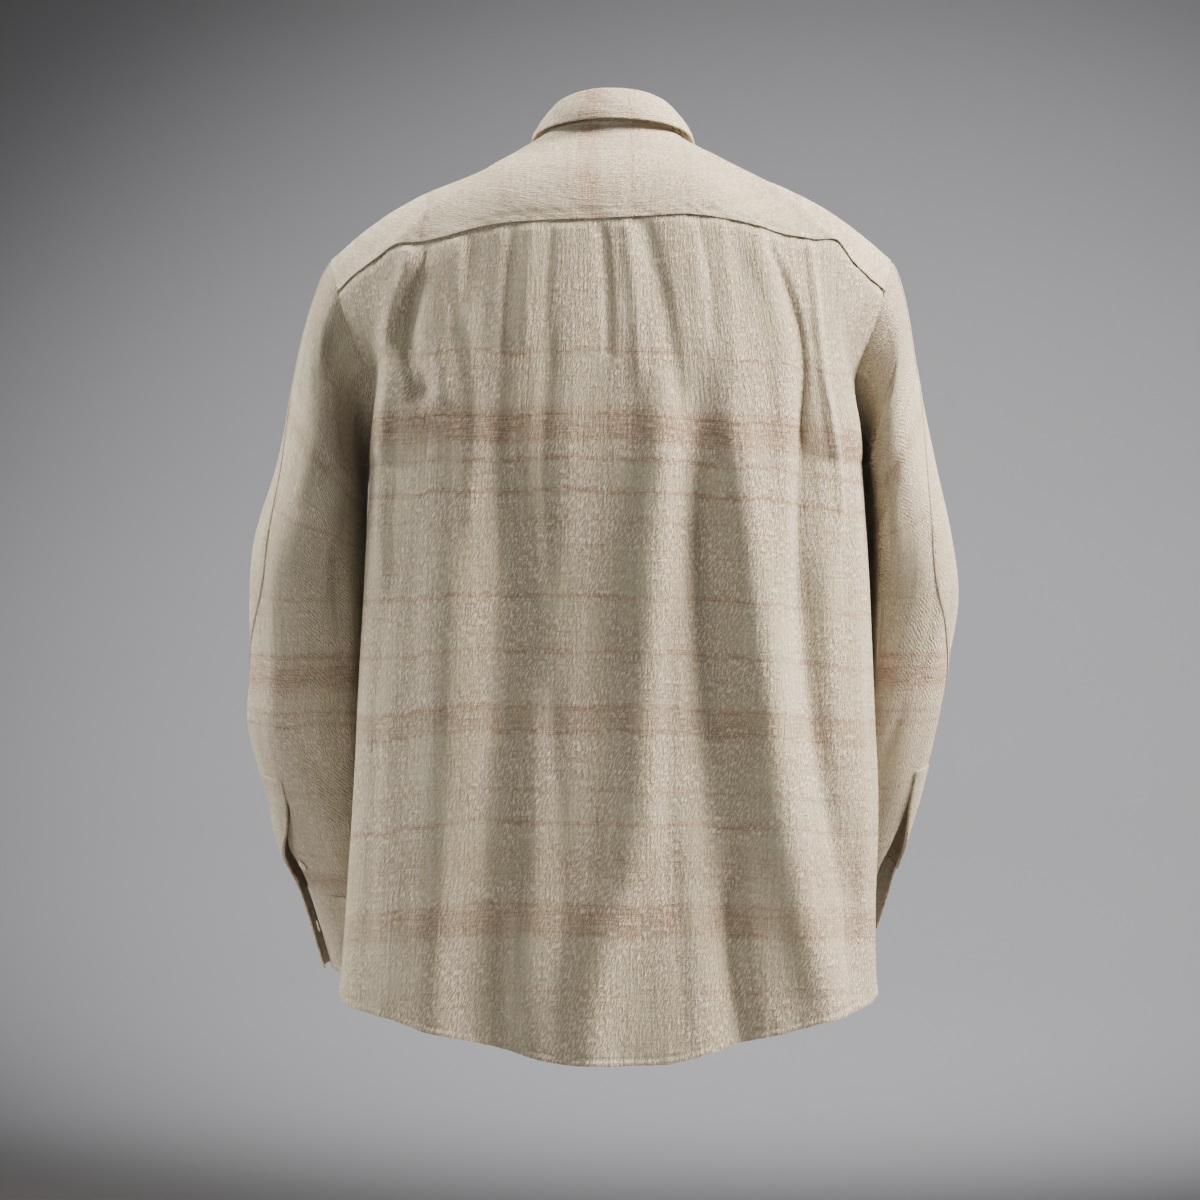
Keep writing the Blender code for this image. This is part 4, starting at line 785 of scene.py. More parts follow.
def yoke_panel(share, shoulder_steps, rows):
    """Grid of the yoke: rays from the neck out, right front seam round the back to left front seam."""
    r = graded(rows, 0.90, 10)
    seam = seam_points(share)
    rays = []
    for q, outer in zip(share, seam):
        side = 1.0 if q >= 0.0 else -1.0
        corner = float(ease((abs(q) - YOKE_CORNER_FROM) / YOKE_CORNER_REACH))
        back_swell = YOKE_BACK_SWELL + YOKE_CORNER_SWELL * corner
        rays.append(yoke_ray(side, NECK_CORNER_TURN * abs(q), outer, r, back_swell, YOKE_SWELL))
    ends = {1.0: [], -1.0: []}
    for side in (1.0, -1.0):
        for step in range(1, shoulder_steps + 1):
            over = step / shoulder_steps
            outer = armhole(np.array(BACK_CORNER + (FRONT_CORNER - BACK_CORNER) * over), side)
            turn = NECK_CORNER_TURN + (NECK_FRONT_TURN - NECK_CORNER_TURN) * over
            swell = YOKE_SWELL + SHOULDER_SWELL * math.sin(math.pi * over) + FRONT_CORNER_SWELL * over
            turn_back = YOKE_BACK_SWELL + YOKE_CORNER_SWELL
            turn_back = turn_back - (turn_back + FRONT_CORNER_DIP) * over
            ends[side].append(yoke_ray(side, turn, outer, r, turn_back, swell))
    rays = ends[-1.0][::-1] + rays + ends[1.0]
    return np.stack(rays, axis=1)


def yoke_ray(side, turn, outer, r, back_swell, swell):
    inner = spline(NECK, np.array(turn)) * np.array([side, 1.0, 1.0])
    lift = np.array([0.0, back_swell, swell])
    return inner + (outer - inner) * r[:, None] + lift * np.sin(math.pi * r[:, None] ** SWELL_SKEW)


def slit_push(slit, place, turn, under):
    """Share by which the slit's over edge swells out and its under edge sinks in."""
    row = spline(slit, place)
    over_gap = row[..., 0] - turn
    under_gap = np.where(turn < row[..., 0] - 180.0, turn + 360.0, turn) - row[..., 1]
    swell = 1.0 + (row[..., 2] - 1.0) * ease(1.0 - np.abs(over_gap) / SLIT_REACH)
    sink = 1.0 + (row[..., 3] - 1.0) * ease(1.0 - np.abs(under_gap) / SLIT_REACH)
    return np.where(under, sink, swell)


def sleeve_point(side, place, turn, under):
    """Point of a sleeve section; turn 0 is outermost, 90 the back, -90 the front."""
    row = spline(SLEEVES[side], place)
    height, outer, half, middle, deep, tilt, _, roll = (row[..., k] for k in range(8))
    push = slit_push(SLITS[side], place, turn, under)
    angle = np.radians(turn)
    tilt = np.radians(tilt)
    square = SLEEVE_SQUARE[side] * ease((turn - SQUARE_FROM) / SQUARE_FADE)
    square = square * ease((SQUARE_TO - turn) / SQUARE_FADE)
    square = square * ease((place - SLEEVE_START) / SQUARE_RISE) * ease((SLIT_START - place) / SQUARE_RUN_OUT)
    push = push * (1.0 + square)
    across = (outer - half) + half * np.cos(angle) * push
    fore = deep * np.sin(angle) * push
    height = height - fore * np.sin(tilt) + roll * np.cos(angle)
    return np.stack([across, middle + fore * np.cos(tilt), height], axis=-1)


def clear_body(points, side):
    """Keep a sleeve's inner side off the body."""
    points = points.copy()
    limit = side_width(points[..., 2], points[..., 1], side) + BODY_CLEARANCE
    gap = points[..., 0] - limit
    near = limit + CLEAR_SOFT * np.exp(np.minimum((gap - CLEAR_SOFT) / CLEAR_SOFT, 0.0))
    beside = (points[..., 2] < CHEST_Z) & (gap < CLEAR_SOFT)
    points[..., 0] = np.where(beside, near, points[..., 0])
    return points


def sleeve_grid(side, places, turns, under):
    """Grid down a sleeve; turns and under hold a row per place."""
    reach = np.asarray(ARM_TURNS)
    rows = []
    for place, turn, low in zip(places, turns, under):
        at = np.full(turn.shape, max(place, SLEEVE_START))
        point = sleeve_point(side, at, turn, low)
        if place < SLEEVE_START:
            ahead = sleeve_point(side, at + PULL_STEP, turn, low)
            start = armhole(np.interp(-turn, -reach[:, 1], reach[:, 0]), side) * np.array([side, 1.0, 1.0])
            angle = np.radians(turn)
            chord = np.linalg.norm(point - start, axis=-1, keepdims=True)
            drop = -1.0 - np.cos(angle)
            leave = np.stack([np.ones_like(angle), SLEEVE_BACK_LEAN * np.sin(angle), drop], axis=-1)
            leave = leave / np.linalg.norm(leave, axis=-1, keepdims=True) * chord
            arrive = (ahead - point) / np.linalg.norm(ahead - point, axis=-1, keepdims=True) * chord
            share = np.full(turn.shape, place / SLEEVE_START)
            point = sway(start, point, leave, arrive, share)
        rows.append(clear_body(point, side) if place > 0.0 else point)
    return np.stack(rows, axis=0) * np.array([side, 1.0, 1.0])


def seam_turn(side, place):
    return spline(SLEEVES[side], place)[..., 6]


def sleeve_back_turns(side, places):
    """Turns of the back half: outer seam to slit, then slit to under seam."""
    turns = []
    for place in places:
        slit = spline(SLITS[side], max(place, SLIT_START))
        part = ease((SLIT_START - place) / SLIT_FADE)
        over = slit[0] + (BACK_TURN - slit[0]) * part
        below = slit[1] + (BACK_TURN - slit[1]) * part
        seam = float(seam_turn(side, np.array(max(place, SLEEVE_START))))
        first = np.linspace(seam, over, OVER_COLUMNS)
        second = np.linspace(below, UNDER_SEAM_TURN, UNDER_COLUMNS)
        turns.append(np.concatenate([first, second]))
    under = np.zeros((len(places), OVER_COLUMNS + UNDER_COLUMNS), dtype=bool)
    under[:, OVER_COLUMNS:] = True
    return np.asarray(turns), under


def sleeve_front_turns(side, places):
    turns = []
    for place in places:
        seam = float(seam_turn(side, np.array(max(place, SLEEVE_START))))
        turns.append(np.linspace(UNDER_SEAM_TURN - 360.0, seam, FRONT_HALF_COLUMNS))
    turns = np.asarray(turns)
    return turns, turns < UNDER_TURN


def cuff_turns(side, places):
    turns = []
    for place in places:
        slit = spline(SLITS[side], place)
        turns.append(np.linspace(slit[0], slit[1] - 360.0, CUFF_COLUMNS))
    turns = np.asarray(turns)
    return turns, turns < UNDER_TURN


def neck_point(turn):
    point = spline(NECK, np.abs(turn))
    return point * np.stack([np.where(turn < 0.0, -1.0, 1.0), np.ones_like(turn), np.ones_like(turn)],
        axis=-1)


def collar_point(rows, turn):
    """Point of the fold or leaf edge; the right side spreads a little wider."""
    point = spline(rows, np.abs(turn))
    side = np.where(turn < 0.0, -RIGHT_COLLAR_SPREAD, 1.0)
    return point * np.stack([side, np.ones_like(turn), np.ones_like(turn)], axis=-1)


def ring_out(turn):
    """Level direction out of the neck at a turn."""
    angle = np.radians(turn)
    return np.stack([np.sin(angle), np.cos(angle), np.zeros_like(angle)], axis=-1)


def neck_turns(limit):
    """Turns of the collar's columns up to a limit, right front round the back to left front."""
    left = [turn for turn in FRONT_NECK_TURNS + SIDE_NECK_TURNS if turn < limit]
    left = [limit] + left
    return np.array([-turn for turn in left] + left[::-1][1:])


def lap_push(turn):
    """Level push that lets the left end of the stand pass outside the right end."""
    left = ease((turn - STAND_LAP_TURN) / STAND_LAP_REACH)
    right = ease((-turn - STAND_LAP_TURN) / STAND_LAP_REACH)
    return STAND_LAP_LIFT * (left - right)


def stand_grid(turn, rows):
    """Collar stand from its top edge down to the neck seam, right end round the back to the left end."""
    out = ring_out(turn)
    top = collar_point(COLLAR_FOLD, turn) - out * STAND_TOP_INSET + np.array([0.0, 0.0, -STAND_TOP_DROP])
    base = neck_point(turn) + np.array([0.0, 0.0, NECK_RISE])
    share = np.linspace(0.0, 1.0, rows)[:, None, None]
    points = top[None] + (base - top)[None] * share
    return points + out[None] * lap_push(turn)[None, :, None]


def leaf_grid(turn, rows):
    """Collar leaf from the stand's top edge over the fold and down to its outer edge."""
    out = ring_out(turn)
    fold = collar_point(COLLAR_FOLD, turn)
    up = np.array([0.0, 0.0, 1.0])
    lap = lap_push(turn)[:, None]
    over = np.maximum(lap, 0.0) - LEAF_LAP_SHARE * np.minimum(lap, 0.0)
    start = fold - out * (STAND_TOP_INSET - lap) + up * (LEAF_SEAM_GAP - STAND_TOP_DROP)
    crown = fold - out * 0.5 * (STAND_TOP_INSET - lap - over) + up * LEAF_CROWN
    turned = fold + out * (LEAF_CLEAR + over) - up * LEAF_CROWN
    edge = collar_point(COLLAR_EDGE, turn)
    share = np.linspace(0.0, 1.0, rows)[1:, None, None]
    fall = turned[None] + (edge - turned)[None] * share + out[None] * np.sin(math.pi * share) * LEAF_SWELL
    return np.concatenate([start[None], crown[None], turned[None], fall], axis=0)


def outward(points, centre):
    """Unit normals of a grid, pointing away from a centre."""
    n = normals(points)
    side = np.sum(n * (points - centre))
    return n if side > 0.0 else -n


def moved_out(points, distance, centre):
    return points + outward(points, centre) * distance


def at_share(points, row, column):
    """Point of a grid at fractional row and column."""
    r, c = int(row), int(column)
    r, c = min(r, points.shape[0] - 2), min(c, points.shape[1] - 2)
    u, v = row - r, column - c
    top = points[r, c] * (1 - v) + points[r, c + 1] * v
    low = points[r + 1, c] * (1 - v) + points[r + 1, c + 1] * v
    return top * (1 - u) + low * u


def armhole_gap(turn):
    """Draw-back of a sleeve's top edge, more under the arm where it meets the body square."""
    low = ease(0.5 - 0.5 * np.cos(np.radians(turn)))
    return ARMHOLE_TOP_GAP + (ARMHOLE_UNDER_GAP - ARMHOLE_TOP_GAP) * low


def row_at_height(grid, column, height):
    line = np.array([at_share(grid, r, column)[2] for r in range(grid.shape[0])])
    return float(np.interp(-height, -line, np.arange(grid.shape[0])))


def ripple(u, v, seed):
    """Smooth random field from -1 to 1 over cloth coordinates counted in its own cells."""
    table = np.random.default_rng(seed).uniform(-1.0, 1.0, (97, 89))
    i, j = np.floor(u).astype(int), np.floor(v).astype(int)
    fu, fv = ease(u - i), ease(v - j)
    i, j, ii, jj = i % 97, j % 89, (i + 1) % 97, (j + 1) % 89
    low = table[i, j] * (1.0 - fu) + table[ii, j] * fu
    high = table[i, jj] * (1.0 - fu) + table[ii, jj] * fu
    return low * (1.0 - fv) + high * fv


def crinkled(points, cloth, seed, strength=1.0):
    """Cloth with the small waves of washed cotton; they run down the cloth more than across it."""
    u, v = cloth[..., 0] / MM, cloth[..., 1] / MM
    push = np.zeros(u.shape)
    for number, (wide, long, deep) in enumerate(CRINKLES):
        push = push + deep * ripple(u / wide, v / long, seed + number)
    return points + outward(points,
        points.mean(axis=(0, 1)) * np.array([0.0, 0.0, 1.0])) * (push * strength)[..., None]


def crease_push(creases, across, height):
    """Push of creases that are steeper on one side than on the other."""
    total = np.zeros(np.shape(across))
    for _, deep, right, left, path in creases:
        low, high = path[0][0], path[-1][0]
        line = spline(path, height)[..., 0]
        place = (height - low) / (high - low)
        away = across - line
        reach = np.where(away < 0.0, right, left)
        fade = ease((1.0 + CREASE_RUN_OUT - place) / CREASE_RUN_OUT)
        fade = fade * ease((place + CREASE_RUN_OUT) / CREASE_RUN_OUT)
        total = total + deep * fade * np.exp(-((away / reach) ** 2))
    return total


def pucker(points, edge_distance, along, seed, deep=0.45, reach=11.0):
    """Small gathers beside a sewn line, uneven in step and depth."""
    wave = ripple(along / 7.5, along * 0.0, seed) + 0.5 * ripple(along / 3.6, along * 0.0, seed + 1)
    push = deep * wave * np.exp(-((edge_distance / reach) ** 2))
    return points + outward(points, BODY_MIDDLE) * push[..., None]


def row_lengths(points):
    """Length along each row of a grid, from its first column."""
    step = np.linalg.norm(np.diff(points, axis=1), axis=-1)
    return np.concatenate([np.zeros((points.shape[0], 1)), np.cumsum(step, axis=1)], axis=1)


def column_lengths(points):
    return row_lengths(points.transpose(1, 0, 2)).T


def inset_line(points, inset, lift, centre):
    """Line at a distance in from a grid's first row, standing off its face."""
    raised = moved_out(points, lift, centre)
    along = column_lengths(points)
    columns = range(points.shape[1])
    return np.array([[np.interp(inset, along[:, c], raised[:, c, k]) for k in range(3)] for c in columns])


def plain_cloth(points, origin=(0.0, 0.0)):
    """Cloth coordinates in metres from the lengths along a grid's middle row and middle column."""
    rows, columns = points.shape[:2]
    across = row_lengths(points)[rows // 2]
    down = column_lengths(points)[:, columns // 2]
    u = np.broadcast_to(across[None], (rows, columns)) + origin[0]
    v = np.broadcast_to(-down[:, None], (rows, columns)) + origin[1]
    return np.stack([u, v], axis=-1) * MM


def grid_mesh(name, points, cloth, material, slit=None):
    """Open sheet from a grid, with its cloth coordinates kept as a UV map."""
    rows, columns = points.shape[:2]
    number = np.arange(rows * columns).reshape(rows, columns)
    if slit:
        number[:slit[1] + 1, slit[0]] = number[:slit[1] + 1, slit[0] - 1]
    faces = np.stack([number[:-1, :-1], number[:-1, 1:], number[1:, 1:], number[1:, :-1]], axis=-1)
    if slit:
        faces = np.delete(faces, slit[0] - 1, axis=1)
    faces = faces.reshape(-1, 4)
    used, faces = np.unique(faces, return_inverse=True)
    faces = faces.reshape(-1, 4)
    places = points.reshape(-1, 3)[used] * MM
    mesh = bpy.data.meshes.new(name)
    mesh.from_pydata(places.tolist(), [], faces.tolist())
    layer = mesh.uv_layers.new(name="cloth")
    corner = np.empty(len(mesh.loops), dtype=np.int32)
    mesh.loops.foreach_get("vertex_index", corner)
    layer.data.foreach_set("uv", cloth.reshape(-1, 2)[used][corner].astype(np.float32).ravel())
    mesh.polygons.foreach_set("use_smooth", np.ones(len(mesh.polygons), dtype=bool))
    mesh.materials.append(material)
    item = bpy.data.objects.new(name, mesh)
    bpy.context.scene.collection.objects.link(item)
    return item


def settled(item):
    """Work a piece's modifiers into a plain mesh."""
    graph = bpy.context.evaluated_depsgraph_get()
    mesh = bpy.data.meshes.new_from_object(item.evaluated_get(graph))
    item.modifiers.clear()
    item.data = mesh
    mesh.set_sharp_from_angle(angle=math.radians(50.0))
    return item


def declare(item, nodes=()):
    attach(item, "root")
    if nodes:
        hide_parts(*nodes)
    return item


def sewn(name, points, cloth, material, wall=CLOTH, nodes=(), slit=None, rounded=False):
    """Finished cloth piece: grid, wall and, on doubled trim, a rounded edge."""
    item = grid_mesh(name, points, cloth, material, slit)
    thick = item.modifiers.new("Wall", "SOLIDIFY")
    thick.thickness = wall * MM
    thick.offset = 0.0
    thick.use_even_offset = False
    if rounded:
        edge = item.modifiers.new("Edge", "BEVEL")
        edge.width = 0.32 * wall * MM
        edge.segments = 2
        edge.limit_method = "ANGLE"
        edge.angle_limit = math.radians(60.0)
    settled(item)
    declare(item, nodes)
    area = grid_area(points) * MM * MM
    CLOTH_AREAS[name] = (area, float(row_lengths(points)[:, -1].max()),
        float(column_lengths(points)[-1].max()))
    return item


def grid_area(points):
    a = points[1:, :-1] - points[:-1, :-1]
    b = points[:-1, 1:] - points[:-1, :-1]
    c = points[1:, 1:] - points[1:, :-1]
    d = points[1:, 1:] - points[:-1, 1:]
    return float(0.5 * (np.linalg.norm(np.cross(a, b), axis=-1) + np.linalg.norm(np.cross(c, d),
        axis=-1)).sum())


def seam_fell(first, first_inner, second, second_inner, reach, lift, centre):
    """Narrow strip over a seam: from a little way into one panel to a little way into the other."""
    one = first_inner - first
    two = second_inner - second
    one = one / np.maximum(np.linalg.norm(one, axis=-1, keepdims=True), 1e-6)
    two = two / np.maximum(np.linalg.norm(two, axis=-1, keepdims=True), 1e-6)
    middle = (first + second) / 2.0
    n = np.cross(np.gradient(middle, axis=0), one - two)
    n = n / np.maximum(np.linalg.norm(n, axis=-1, keepdims=True), 1e-6)
    if np.sum(n * (middle - centre)) < 0.0:
        n = -n
    columns = [
        first + one * reach + n * lift * 0.5, first + one * reach * 0.8 + n * lift, middle + n * lift * 1.1,
        second + two * reach * 0.8 + n * lift, second + two * reach + n * lift * 0.5,
    ]
    return np.stack(columns, axis=1)


# Materials

def linear(colour):
    """sRGB hex colour as the linear values that a shader takes."""
    values = [int(colour[i:i + 2], 16) / 255.0 for i in (1, 3, 5)]
    return tuple(v / 12.92 if v <= 0.04045 else ((v + 0.055) / 1.055) ** 2.4 for v in values) + (1.0,)


def node(tree, kind, inputs=None, **settings):
    """Add a node with its settings, and feed its inputs from values or from other nodes' outputs."""
    made = tree.nodes.new(kind)
    for key, value in settings.items():
        setattr(made, key, value)
    for key, value in (inputs or {}).items():
        if isinstance(value, bpy.types.NodeSocket):
            tree.links.new(value, made.inputs[key])
        else:
            made.inputs[key].default_value = value
    return made


def sum_of(tree, *parts):
    """Add up pairs of a socket and its share."""
    total = 0.0
    for socket, share in parts:
        total = node(tree, "ShaderNodeMath", {0: socket, 1: share, 2: total},
            operation="MULTIPLY_ADD").outputs[0]
    return total


def spread(tree, value, low, high, to_low=0.0, to_high=1.0):
    return node(tree, "ShaderNodeMapRange", {
        "Value": value, "From Min": low, "From Max": high, "To Min": to_low, "To Max": to_high,
    }, interpolation_type="SMOOTHSTEP").outputs[0]


def mixed(tree, share, first, second):
    return node(tree, "ShaderNodeMix", {0: share, 6: first, 7: second}, data_type="RGBA").outputs[2]


def thread_noise(tree, weft, along_mm, run_mm, detail=2.0):
    """Noise drawn out along or across the weft; the sizes are those of one blot in millimetres."""
    scaled = node(tree, "ShaderNodeVectorMath",
        {0: weft, 1: (1.0 / (along_mm * MM), 1.0 / (run_mm * MM), 1.0)},
                  operation="MULTIPLY").outputs[0]
    return node(tree, "ShaderNodeTexNoise", {
        "Vector": scaled, "Scale": 1.0, "Detail": detail, "Roughness": 0.55,
    }, noise_dimensions="2D").outputs[0]


def band_ramp(tree, place, bands, low, high):
    """Strength of the woven bands: each rises to its middle and falls away again."""
    if len(bands) > BANDS_IN_A_RAMP:
        halves = [band_ramp(tree, place, part, low, high) for part in (bands[:BANDS_IN_A_RAMP],
            bands[BANDS_IN_A_RAMP:])]
        return node(tree, "ShaderNodeMath", {0: halves[0], 1: halves[1]}, operation="MAXIMUM").outputs[0]
    stops = sorted({p for middle, half, _ in bands for p in (middle - half, middle, middle + half)})
    share = spread_line(tree, place, low * MM, high * MM)
    ramp = node(tree, "ShaderNodeValToRGB", {0: share})
    line = ramp.color_ramp
    line.interpolation = "EASE"
    while len(line.elements) < len(stops):
        line.elements.new(0.5)
    for element, stop in zip(line.elements, stops):
        value = max(max(0.0, 1.0 - abs(stop - middle) / half) * strength for middle, half,
            strength in bands)
        element.position = (stop - low) / (high - low)
        element.color = (value, value, value, 1.0)
    return ramp.outputs[0]


def spread_line(tree, value, low, high):
    return node(tree, "ShaderNodeMapRange", {"Value": value, "From Min": low, "From Max": high}).outputs[0]


def shirting(name, bands, low, high, crosswise=False, crinkle=1.0, twill=0.0):
    """Slub cotton, plain woven and washed: matt, uneven threads that catch light as short streaks.

    Bands of pinkish-tan weft fade in and out across the ecru ground. Threads are really 0.4 mm apart; they are
    drawn about 1 mm apart so that they show.
    """
    material = bpy.data.materials.new(name)
    material.use_nodes = True
    tree = material.node_tree
    shader = tree.nodes["Principled BSDF"]
    cloth = node(tree, "ShaderNodeUVMap", uv_map="cloth").outputs[0]
    split = node(tree, "ShaderNodeSeparateXYZ", {0: cloth}).outputs
    along, run = (split[1], split[0]) if crosswise else (split[0], split[1])
    weft = node(tree, "ShaderNodeCombineXYZ", {0: along, 1: run}).outputs[0]

    lean = node(tree, "ShaderNodeMath", {0: run, 1: GRAIN_LEAN, 2: along},
        operation="MULTIPLY_ADD").outputs[0]
    leaning = node(tree, "ShaderNodeCombineXYZ", {0: lean, 1: run}).outputs[0]
    grain = thread_noise(tree, leaning, 1.05, 4.6, 1.5)
    streak = thread_noise(tree, weft, 2.6, 34.0)
    slub = thread_noise(tree, weft, 30.0, 1.5)
    cloud = thread_noise(tree, weft, 45.0, 60.0, 3.0)
    columns = thread_noise(tree, weft, 9.0, 300.0, 2.0)
    broken = thread_noise(tree, weft, 16.0, 1.2, 3.0)
    wander = thread_noise(tree, weft, 70.0, 400.0, 2.0)

    centred = -0.5 * (BAND_SWAY + BAND_FRAY) * MM
    place = sum_of(tree, (run, 1.0), (wander, BAND_SWAY * MM), (streak, BAND_FRAY * MM), (1.0, centred))
    band = band_ramp(tree, place, bands, low, high)
    ragged = spread(tree, broken, 0.36, 0.60, 0.30, 1.0)
    patchy = spread(tree, cloud, 0.30, 0.60, 0.60, 1.0)
    band = node(tree, "ShaderNodeMath", {0: band, 1: ragged}, operation="MULTIPLY").outputs[0]
    band = node(tree, "ShaderNodeMath", {0: band, 1: patchy}, operation="MULTIPLY").outputs[0]

    raised = spread(tree, grain, 0.42, 0.58)
    rough_cloth = spread(tree, cloud, 0.34, 0.58, 0.60, 1.0)
    ground = mixed(tree, spread(tree, cloud, 0.35, 0.65), linear(ECRU_COOL), linear(ECRU))
    ground = mixed(tree, spread(tree, columns, 0.40, 0.62, 0.0, 0.28), ground, linear(ECRU_LIGHT))
    ground = mixed(tree, spread(tree, streak, 0.42, 0.66, 0.0, 0.30), ground, linear(ECRU_WARM))
    ground = mixed(tree, spread(tree, slub, 0.54, 0.70, 0.0, 0.45), ground, linear(ECRU_SHADE))
    tinted = mixed(tree, band, ground, linear(BAND_TAN))
    # Painted shade: the hollows between the raised threads of the grain are darkened towards the thread-shadow
    # colour
    painted_hollow_shade = node(tree, "ShaderNodeMath", {0: 1.0, 1: raised}, operation="SUBTRACT").outputs[0]
    painted_hollow_shade = node(tree, "ShaderNodeMath", {0: painted_hollow_shade, 1: rough_cloth}, operation="MULTIPLY").outputs[0]
    painted_hollow_shade = node(tree, "ShaderNodeMath", {0: painted_hollow_shade, 1: GRAIN_SHADE_DEPTH * crinkle},
        operation="MULTIPLY").outputs[0]
    shaded = mixed(tree, painted_hollow_shade, tinted, linear(THREAD_SHADOW))
    tree.links.new(shaded, shader.inputs["Base Color"])

    grain_height = node(tree, "ShaderNodeMath", {0: raised, 1: rough_cloth},
        operation="MULTIPLY").outputs[0]
    parts = [(grain_height, 1.0 * crinkle), (streak, 1.0 * crinkle), (slub, 0.25)]
    if twill:
        slant = math.radians(TWILL_SLANT)
        wobble = thread_noise(tree, weft, 9.0, 6.0)
        bent = sum_of(tree, (along, math.cos(slant)), (run, math.sin(slant)), (wobble, TWILL_WAVER * MM))
        wave = node(tree, "ShaderNodeMath", {0: bent, 1: 2.0 * math.pi / (TWILL_PITCH * MM)},
            operation="MULTIPLY").outputs[0]
        wave = node(tree, "ShaderNodeMath", {0: wave}, operation="SINE").outputs[0]
        uneven = spread(tree, thread_noise(tree, weft, 5.0, 5.0), 0.34, 0.62, 0.15, 1.0)
        bare = spread(tree, thread_noise(tree, weft, 46.0, 130.0), 0.40, 0.58, 0.20, 1.0)
        for share in (uneven, bare):
            wave = node(tree, "ShaderNodeMath", {0: wave, 1: share}, operation="MULTIPLY").outputs[0]
        parts.append((wave, twill * 0.5))
    height = sum_of(tree, *parts)
    bump = node(tree, "ShaderNodeBump", {"Strength": 1.0, "Distance": 1.0 * MM, "Height": height})
    tree.links.new(bump.outputs[0], shader.inputs["Normal"])
    shader.inputs["Roughness"].default_value = 0.92
    shader.inputs["Specular IOR Level"].default_value = 0.25
    shader.inputs["Sheen Weight"].default_value = 0.12
    shader.inputs["Sheen Roughness"].default_value = 0.55
    return material


def sewing_thread():
    """Polyester-cotton thread, spun: nearly matt, a shade lighter than the cloth."""
    material = bpy.data.materials.new("spun sewing thread")
    material.use_nodes = True
    tree = material.node_tree
    shader = tree.nodes["Principled BSDF"]
    place = node(tree, "ShaderNodeTexCoord").outputs["Object"]
    twist = node(tree, "ShaderNodeTexNoise", {"Vector": place, "Scale": 1800.0, "Detail": 1.0}).outputs[0]
    tree.links.new(mixed(tree, spread(tree, twist, 0.35, 0.65), linear("#C9BDA6"), linear("#E4DBC9")),
        shader.inputs["Base Color"])
    shader.inputs["Roughness"].default_value = 0.75
    return material


def button_nut():
    """Corozo nut, turned and polished: cream with faint brown grain and a soft shine."""
    material = bpy.data.materials.new("polished corozo nut")
    material.use_nodes = True
    tree = material.node_tree
    shader = tree.nodes["Principled BSDF"]
    place = node(tree, "ShaderNodeTexCoord").outputs["Object"]
    grain = node(tree, "ShaderNodeTexNoise",
        {"Vector": place, "Scale": 420.0, "Detail": 4.0, "Distortion": 1.5}).outputs[0]
    colour = mixed(tree, spread(tree, grain, 0.38, 0.7), linear("#DED5C3"), linear("#B9A98E"))
    tree.links.new(colour, shader.inputs["Base Color"])
    rough = spread(tree, grain, 0.3, 0.7, 0.28, 0.42)
    tree.links.new(rough, shader.inputs["Roughness"])
    bump = node(tree, "ShaderNodeBump", {"Strength": 0.2, "Distance": 0.1 * MM, "Height": grain})
    tree.links.new(bump.outputs[0], shader.inputs["Normal"])
    return material


# Stitching

def stitch_tree(thread):
    """Geometry nodes that lay a short stitch at every step along the piece's lines."""
    tree = bpy.data.node_groups.new("lockstitch rows", "GeometryNodeTree")
    tree.is_modifier = True
    face = tree.interface
    face.new_socket(name="Geometry", in_out="INPUT", socket_type="NodeSocketGeometry")
    for word, value in (("Step", STITCH_STEP * MM), ("Length", STITCH_LENGTH * MM),
        ("Thread", THREAD_WIDTH * MM)):
        socket = face.new_socket(name=word, in_out="INPUT", socket_type="NodeSocketFloat")
        socket.default_value = value
    face.new_socket(name="Geometry", in_out="OUTPUT", socket_type="NodeSocketGeometry")
    given = node(tree, "NodeGroupInput")
    lines = node(tree, "GeometryNodeMeshToCurve", {"Mesh": given.outputs["Geometry"]})
    steps = node(tree, "GeometryNodeResampleCurve",
        {"Curve": lines.outputs[0], "Length": given.outputs["Step"]}, mode="LENGTH")
    tangent = node(tree, "GeometryNodeInputTangent")
    turned = node(tree, "FunctionNodeAlignRotationToVector", {"Vector": tangent.outputs[0]}, axis="Z")
    bead = node(tree, "GeometryNodeMeshIcoSphere", {"Radius": 0.5, "Subdivisions": 1})
    size = node(tree, "ShaderNodeCombineXYZ",
        {0: given.outputs["Thread"], 1: given.outputs["Thread"], 2: given.outputs["Length"]})
    laid = node(tree, "GeometryNodeInstanceOnPoints", {
        "Points": steps.outputs[0], "Instance": bead.outputs[0],
        "Rotation": turned.outputs[0], "Scale": size.outputs[0],
    })
    real = node(tree, "GeometryNodeRealizeInstances", {0: laid.outputs[0]})
    painted = node(tree, "GeometryNodeSetMaterial", {"Geometry": real.outputs[0], "Material": thread})
    result = node(tree, "NodeGroupOutput")
    tree.links.new(painted.outputs[0], result.inputs[0])
    return tree


def stitching(name, rows, tree, thread, step=None):
    """One piece of thread for a group of sewn lines."""
    mesh = bpy.data.meshes.new(name)
    places, edges = [], []
    for line in rows:
        first = len(places)
        places.extend((np.asarray(line) * MM).tolist())
        edges.extend((first + i, first + i + 1) for i in range(len(line) - 1))
    mesh.from_pydata(places, edges, [])
    mesh.materials.append(thread)
    item = bpy.data.objects.new(name, mesh)
    bpy.context.scene.collection.objects.link(item)
    laid = item.modifiers.new("Stitches", "NODES")
    laid.node_group = tree
    for socket in tree.interface.items_tree:
        if socket.name == "Step" and step:
            laid[socket.identifier] = step * MM
    settled(item)
    return declare(item)


# Buttons

